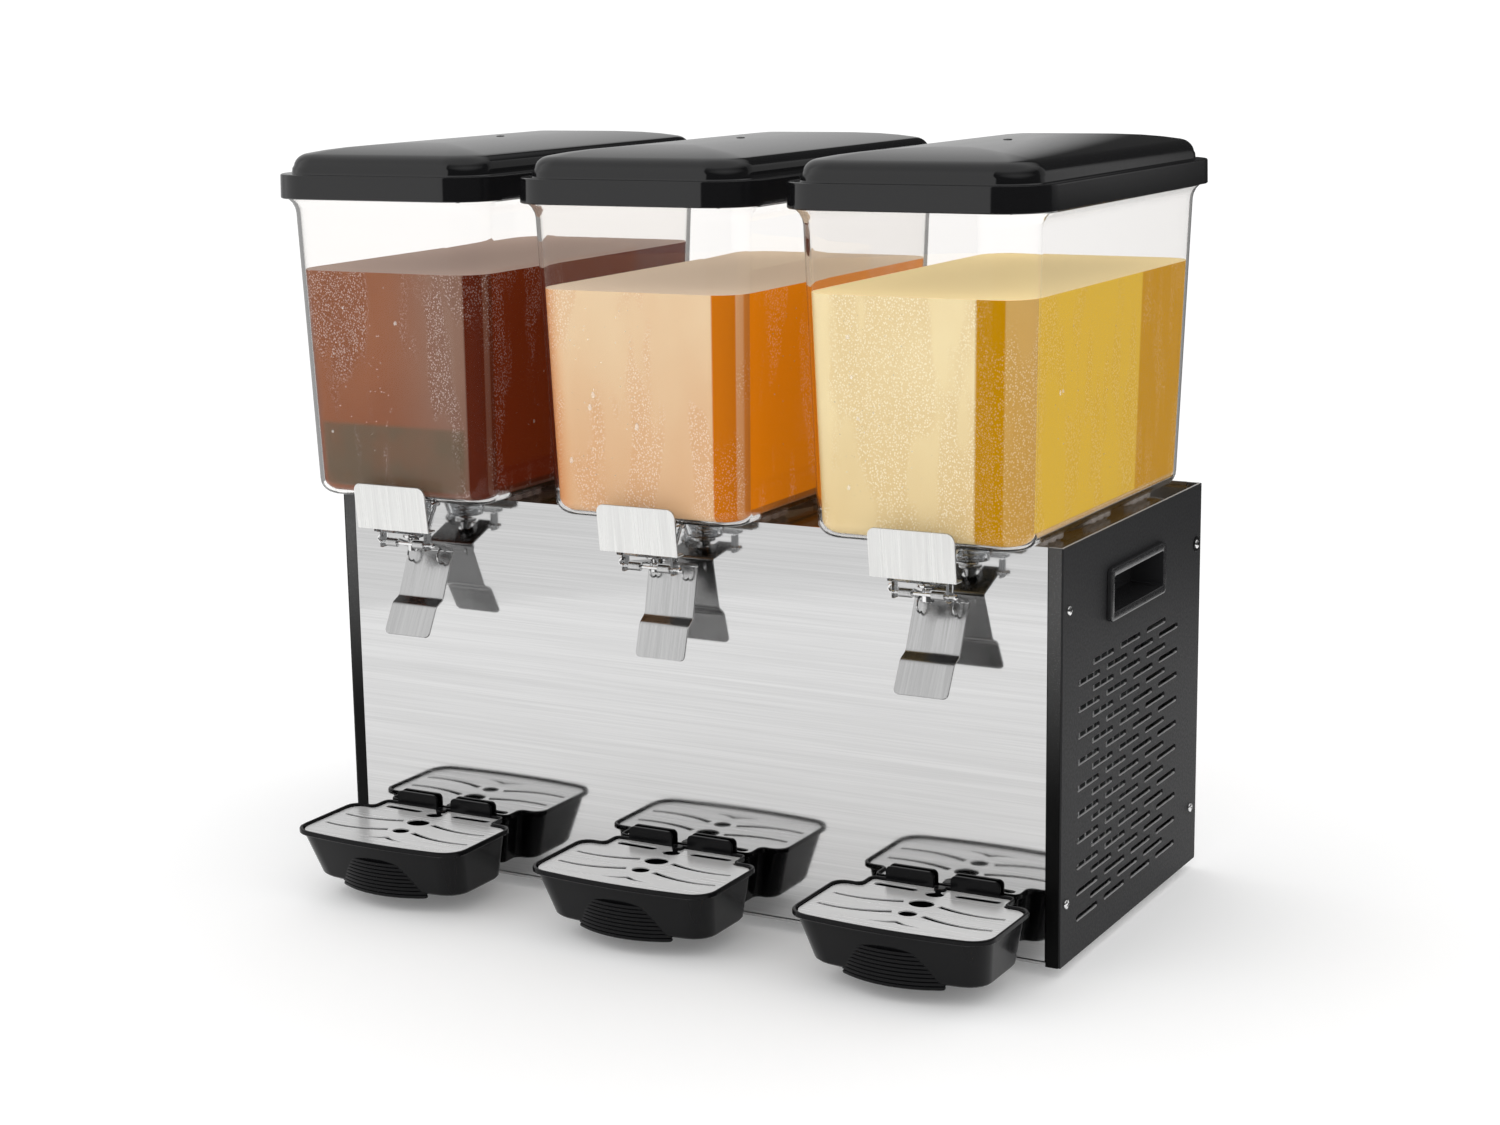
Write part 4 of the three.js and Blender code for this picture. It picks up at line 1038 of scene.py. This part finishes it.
def make_grate(station, x):
    """A thin plate with three oval holes, slots that curve outwards, and one wing-shaped slot in front."""
    holes = []
    for y, rx, ry in ((-17, 7, 6), (-39.5, 9.5, 8), (-63, 7, 6)):
        holes.append([(rx * cos(t), y + ry * sin(t)) for t in turns(32)])
    for side in (-1, 1):
        holes.append(obround((side * 18.5, -13.5), (side * 46.5, -12.8), 3.6))
        holes.append(bent_slot((side * 14, -40), (side * 40, -50), (side * 67, -45), (2.5, 1.5)))
        holes.append(bent_slot((side * 12, -64), (side * 40, -76), (side * 68, -70), (2.5, 1.5)))
    wing = [(21, -86.3), (16, -86.1), (11, -85.3), (6, -83.6), (2.5, -81.4), (0, -80.4)]
    under = [(0, -84.6), (4, -86.2), (9, -87.1), (15, -87.3)]
    holes.append(wing + [(-u, v) for u, v in wing[-2::-1]] + [(-u, v) for u, v in under[::-1]] + under[1:])
    place = Matrix.Translation(at(x, 0, TRAY_RIM_Z - 2.6))
    piece = punched_sheet(f"{station}_grate_sheet", tray_outline(3.0), holes, 1.2, place, 0.25)
    finish_piece(piece, GRATE_STEEL, f"{station}_grate_body", [f"{station}_drip_grate"])


for name in STATIONS:
    centre = station_x(name)
    tap = centre + TAP_X
    pressed = MIDDLE_TILT if name == "middle" else 0
    raised = pressed * LIFT_PER_DEGREE
    make_lid(name, centre)
    make_tank(name, centre)
    make_tank_ribs(name, centre)
    make_juice(name, centre)
    make_condensation(name, centre)
    make_cooler(name, centre)
    make_tap_plate(name, tap)
    make_spout(name, tap)
    make_pin(name, tap)
    make_lever(name, tap, pressed)
    make_plunger(name, tap, raised)
    make_spring(name, tap, raised)
    make_tray(name, centre)
    make_grate(name, centre)


# ---- side panels ----
SLOT_LENGTH = 42
SLOT_H = 4.4
SLOT_PITCH_Y = 55
SLOT_PITCH_Z = 19.5
SLOT_FIRST = (52, 35.8)
HAND_HOLE = {"front": 89, "back": 194, "bottom": 249, "top": 281}


def louvre_holes():
    half = SLOT_H / 2
    reach = SLOT_LENGTH / 2 - half
    holes = []
    for row in range(10):
        z = SLOT_FIRST[1] + row * SLOT_PITCH_Z
        centres = [(SLOT_FIRST[0] + i * SLOT_PITCH_Y, z) for i in range(4)]
        centres += [(SLOT_FIRST[0] + (i + 0.5) * SLOT_PITCH_Y, z + SLOT_PITCH_Z / 2) for i in range(3)]
        holes += [obround((y - reach, v), (y + reach, v), half) for y, v in centres]
    return holes


def make_side_panel(side, sign):
    """The louvred skin, and a folded flange at its front and back edge."""
    outer = sign * CABINET_W / 2
    hand = rectangle(HAND_HOLE["front"], HAND_HOLE["bottom"], HAND_HOLE["back"], HAND_HOLE["top"])
    outline = rounded_corners([(y, z, 1) for y, z in rectangle(0.6, FOOT_H, CABINET_D, CABINET_TOP)], 3)
    # The sheet's own u runs along +Y and its v along +Z.
    turn = Matrix(((0, 0, 1, 0), (1, 0, 0, 0), (0, 1, 0, 0), (0, 0, 0, 1)))
    place = Matrix.Translation(at(outer - sign * SHEET / 2, 0, 0)) @ turn
    skin = punched_sheet(f"{side}_side_skin", outline, [hand, *louvre_holes()], SHEET, place, 0.25)
    finish_piece(skin, SIDE_BLACK, "cabinet", [f"{side}_side_panel"])
    across = sorted((outer - sign * 1.4, outer - sign * FLANGE_W))
    flanges = []
    for y in ((0, SHEET), (CABINET_D - SHEET, CABINET_D)):
        flanges.append(block("flange", across, y, (FOOT_H, CABINET_TOP), 0.5))
    finish_piece(join_pieces(f"{side}_side_flanges", flanges), FLANGE_BLACK, "cabinet")


def make_grip(side, sign):
    """A recessed hand-hole cup, open outwards, with a raised rounded frame."""
    half = (HAND_HOLE["back"] - HAND_HOLE["front"]) / 2 + 5
    middle = (HAND_HOLE["back"] + HAND_HOLE["front"]) / 2
    low = HAND_HOLE["bottom"] - 4
    high = HAND_HOLE["top"] + 4
    levels = [
        (-24, 6, 2), (0.3, 6, 2), (0.3, 0.2, 4.4), (0.6, 0, 4.6), (3.2, 0, 4.6), (3.9, 0.4, 4.2),
        (4.2, 1.4, 3.4), (4.0, 5.4, 2), (3.6, 6.4, 1.8), (-21.5, 8, 1.4), (-22.2, 10, 1),
    ]
    rings = []
    for out, inset, radius in levels:
        outline = rounded_rectangle(half - inset, low + inset, high - inset, radius, 5)
        rings.append([at(sign * (CABINET_W / 2 + out), middle + v, z) for v, z in outline])
    cup = loft(f"{side}_grip_cup", rings)
    finish_piece(cup, TRIM_BLACK, "cabinet", [f"{side}_grip"])


SCREW_PLACES = ((11, 269), (277, 268), (273, 54), (10, 54))
WASHER_PLACE = SCREW_PLACES[1]


def in_metres(x, y, z):
    return Vector((x, y, z)) / 1000


def make_screw(place):
    """A pan-head screw with a cross recess; place carries its own +Z outwards."""
    radius = 3.6
    long, narrow = radius * 0.62, 0.42
    profile = [(radius, 0), (radius, 0.7), (radius * 0.93, 1.3), (radius * 0.7, 1.8), (radius * 0.4, 2.05),
               (0.01, 2.1)]
    screw = loft("screw", [[in_metres(r * cos(t), r * sin(t), h) for t in turns(28)]
                           for r, h in profile])
    recess = []
    for half_x, half_y in ((long, narrow), (narrow, long)):
        recess.append(box("recess", (-half_x, half_x), (-half_y, half_y), (1, 3), in_metres))
    subtract(screw, *recess)
    screw.data.transform(place)
    return screw


def make_side_screws(side, sign):
    outwards = Matrix.Rotation(sign * pi / 2, 4, "Y")
    screws = []
    for i, (y, z) in enumerate(SCREW_PLACES):
        spin = Matrix.Rotation(0.35 + i * 0.5, 4, "Z")
        seat = Matrix.Translation(at(sign * (CABINET_W / 2 + 0.05), y, z))
        screws.append(make_screw(seat @ outwards @ spin))
    finish_piece(join_pieces(f"{side}_side_screws", screws), CHROME, "cabinet")
    disc = [(3.8, 0.05), (6.1, 0.05), (6.1, 0.5), (5.8, 0.75), (3.8, 0.75)]
    washer = lathe(f"{side}_screw_washer", [(r, sign * h) for r, h in disc],
                   (sign * CABINET_W / 2, *WASHER_PLACE), "x", 32)
    finish_piece(washer, TRAY_BLACK, "cabinet")


for panel, direction in (("left", -1), ("right", 1)):
    make_side_panel(panel, direction)
    make_grip(panel, direction)
    make_side_screws(panel, direction)


# ---- CAD nodes that show as they are, with softened edges ----
PLAIN = {
    "front_panel": FRONT_STEEL, "back_panel": BACK_STEEL, "base_pan": PAN_STEEL, "top_deck": DECK_BLACK,
    "compressor": INSIDE_DARK, "condenser": ALUMINIUM, "fan_motor": INSIDE_DARK, "fan_blade": WHITE,
    "power_switch": TRIM_BLACK, "thermostat_knob": TRIM_BLACK, "power_inlet": TRIM_BLACK,
    "left_foot": RUBBER, "right_foot": RUBBER,
}
for name in STATIONS:
    PLAIN[f"{name}_tank_seal"] = SILICONE
    PLAIN[f"{name}_agitator"] = WHITE
    PLAIN[f"{name}_agitator_motor"] = INSIDE_DARK

for node, material in PLAIN.items():
    obj = NODES[node]
    obj.data.materials.clear()
    obj.data.materials.append(material)
    bevel = obj.modifiers.new("soft edges", "BEVEL")
    bevel.width = 0.0003
    bevel.segments = 2
    bevel.limit_method = "ANGLE"
    bevel.angle_limit = radians(50)


# ---- floor, light and camera ----
def make_floor():
    """A round pale floor."""
    radius = 1.25
    rim = [(radius * cos(t), radius * sin(t), 0) for t in turns(96)]
    floor = new_mesh("floor", rim, [tuple(range(len(rim)))])
    pale = plastic("studio_floor", grey(0.92), 0.8, 0.03, 30, 0.0, 0.0, Emission_Color=(1, 1, 1, 1),
                   Emission_Strength=0.12)
    floor.data.materials.append(pale)


def make_light():
    """A weak softbox, high up at the front left."""
    where = Vector((-1.6, -2.2, 2.2))
    target = Vector((0, 0, 0.3))
    data = bpy.data.lights.new("key_softbox", "AREA")
    data.shape = "RECTANGLE"
    data.size, data.size_y = 2.6, 2.0
    data.energy = 8
    light = add_object("key_softbox", data)
    light.location = where
    light.rotation_euler = (target - where).to_track_quat("-Z", "Y").to_euler()
    light.visible_glossy = False


def make_world():
    """A white room. What shines reflects it as large upright lights with dark gaps between."""
    room = 1.08
    ceiling = 0.8
    inside_clear_walls = 0.3
    world = bpy.data.worlds.new("studio")
    bpy.context.scene.world = world
    world.use_nodes = True
    nodes = Nodes(world.node_tree)
    axes = nodes.separate(nodes.coordinates["Generated"])
    heading = nodes.math("ARCTAN2", axes["X"], nodes.product(axes["Y"], -1.0))
    turn = nodes.ramp(heading, -pi, pi, smooth=False)

    def ring(stops):
        """Brightness round the room, from (degrees from the front towards the right, brightness) stops."""
        return nodes.stops(turn, [((degrees + 180) / 360, brightness) for degrees, brightness in stops])

    front = [
        (-179, 0.04), (-160, 0.04), (-158, 0.52), (-100, 0.52), (-85, 0.95), (-20, 1.0), (-17, 0.06),
        (47, 0.06), (50, 0.06),
    ]
    above = ring(front + [(128, 0.06), (134, 0.27), (157, 0.27), (158, 0.4), (160, 0.4), (161, 0.04)])
    below = ring(front + [(157, 0.05), (161, 0.04)])
    around = nodes.blend(nodes.ramp(axes["Z"], -0.06, 0.0, smooth=False), below, above)
    reflected = nodes.blend(nodes.ramp(axes["Z"], 0.5, 0.8, smooth=False), around, ceiling)
    path = nodes.add("LightPath", {}).outputs
    outside = nodes.math("LESS_THAN", path["Transmission Depth"], 0.5)
    bounced = nodes.math("GREATER_THAN", path["Glossy Depth"], 0.5)
    shining = nodes.blend(outside, inside_clear_walls, reflected)
    seen = nodes.blend(nodes.product(path["Is Glossy Ray"], bounced), room, shining)
    background = world.node_tree.nodes["Background"]
    background.inputs["Color"].default_value = (1, 1, 1, 1)
    nodes.tree.links.new(seen, background.inputs["Strength"])


def make_camera():
    azimuth = 0.519619
    elevation = 0.203493
    roll = 0.018988
    stand = at(981.85, -1681.0, 680.13)
    data = bpy.data.cameras.new("camera")
    camera = add_object("camera", data)
    aim = Matrix.Rotation(azimuth, 4, "Z") @ Matrix.Rotation(pi / 2 - elevation, 4, "X")
    camera.matrix_world = Matrix.Translation(stand) @ aim @ Matrix.Rotation(-roll, 4, "Z")
    data.sensor_width = 36
    data.lens = 63.49
    data.shift_x = 0.0333
    data.clip_start = 0.05
    data.clip_end = 60
    bpy.context.scene.camera = camera


make_floor()
make_world()
make_camera()
make_light()

view_settings = bpy.context.scene.view_settings
view_settings.view_transform = "Standard"
view_settings.look = "None"
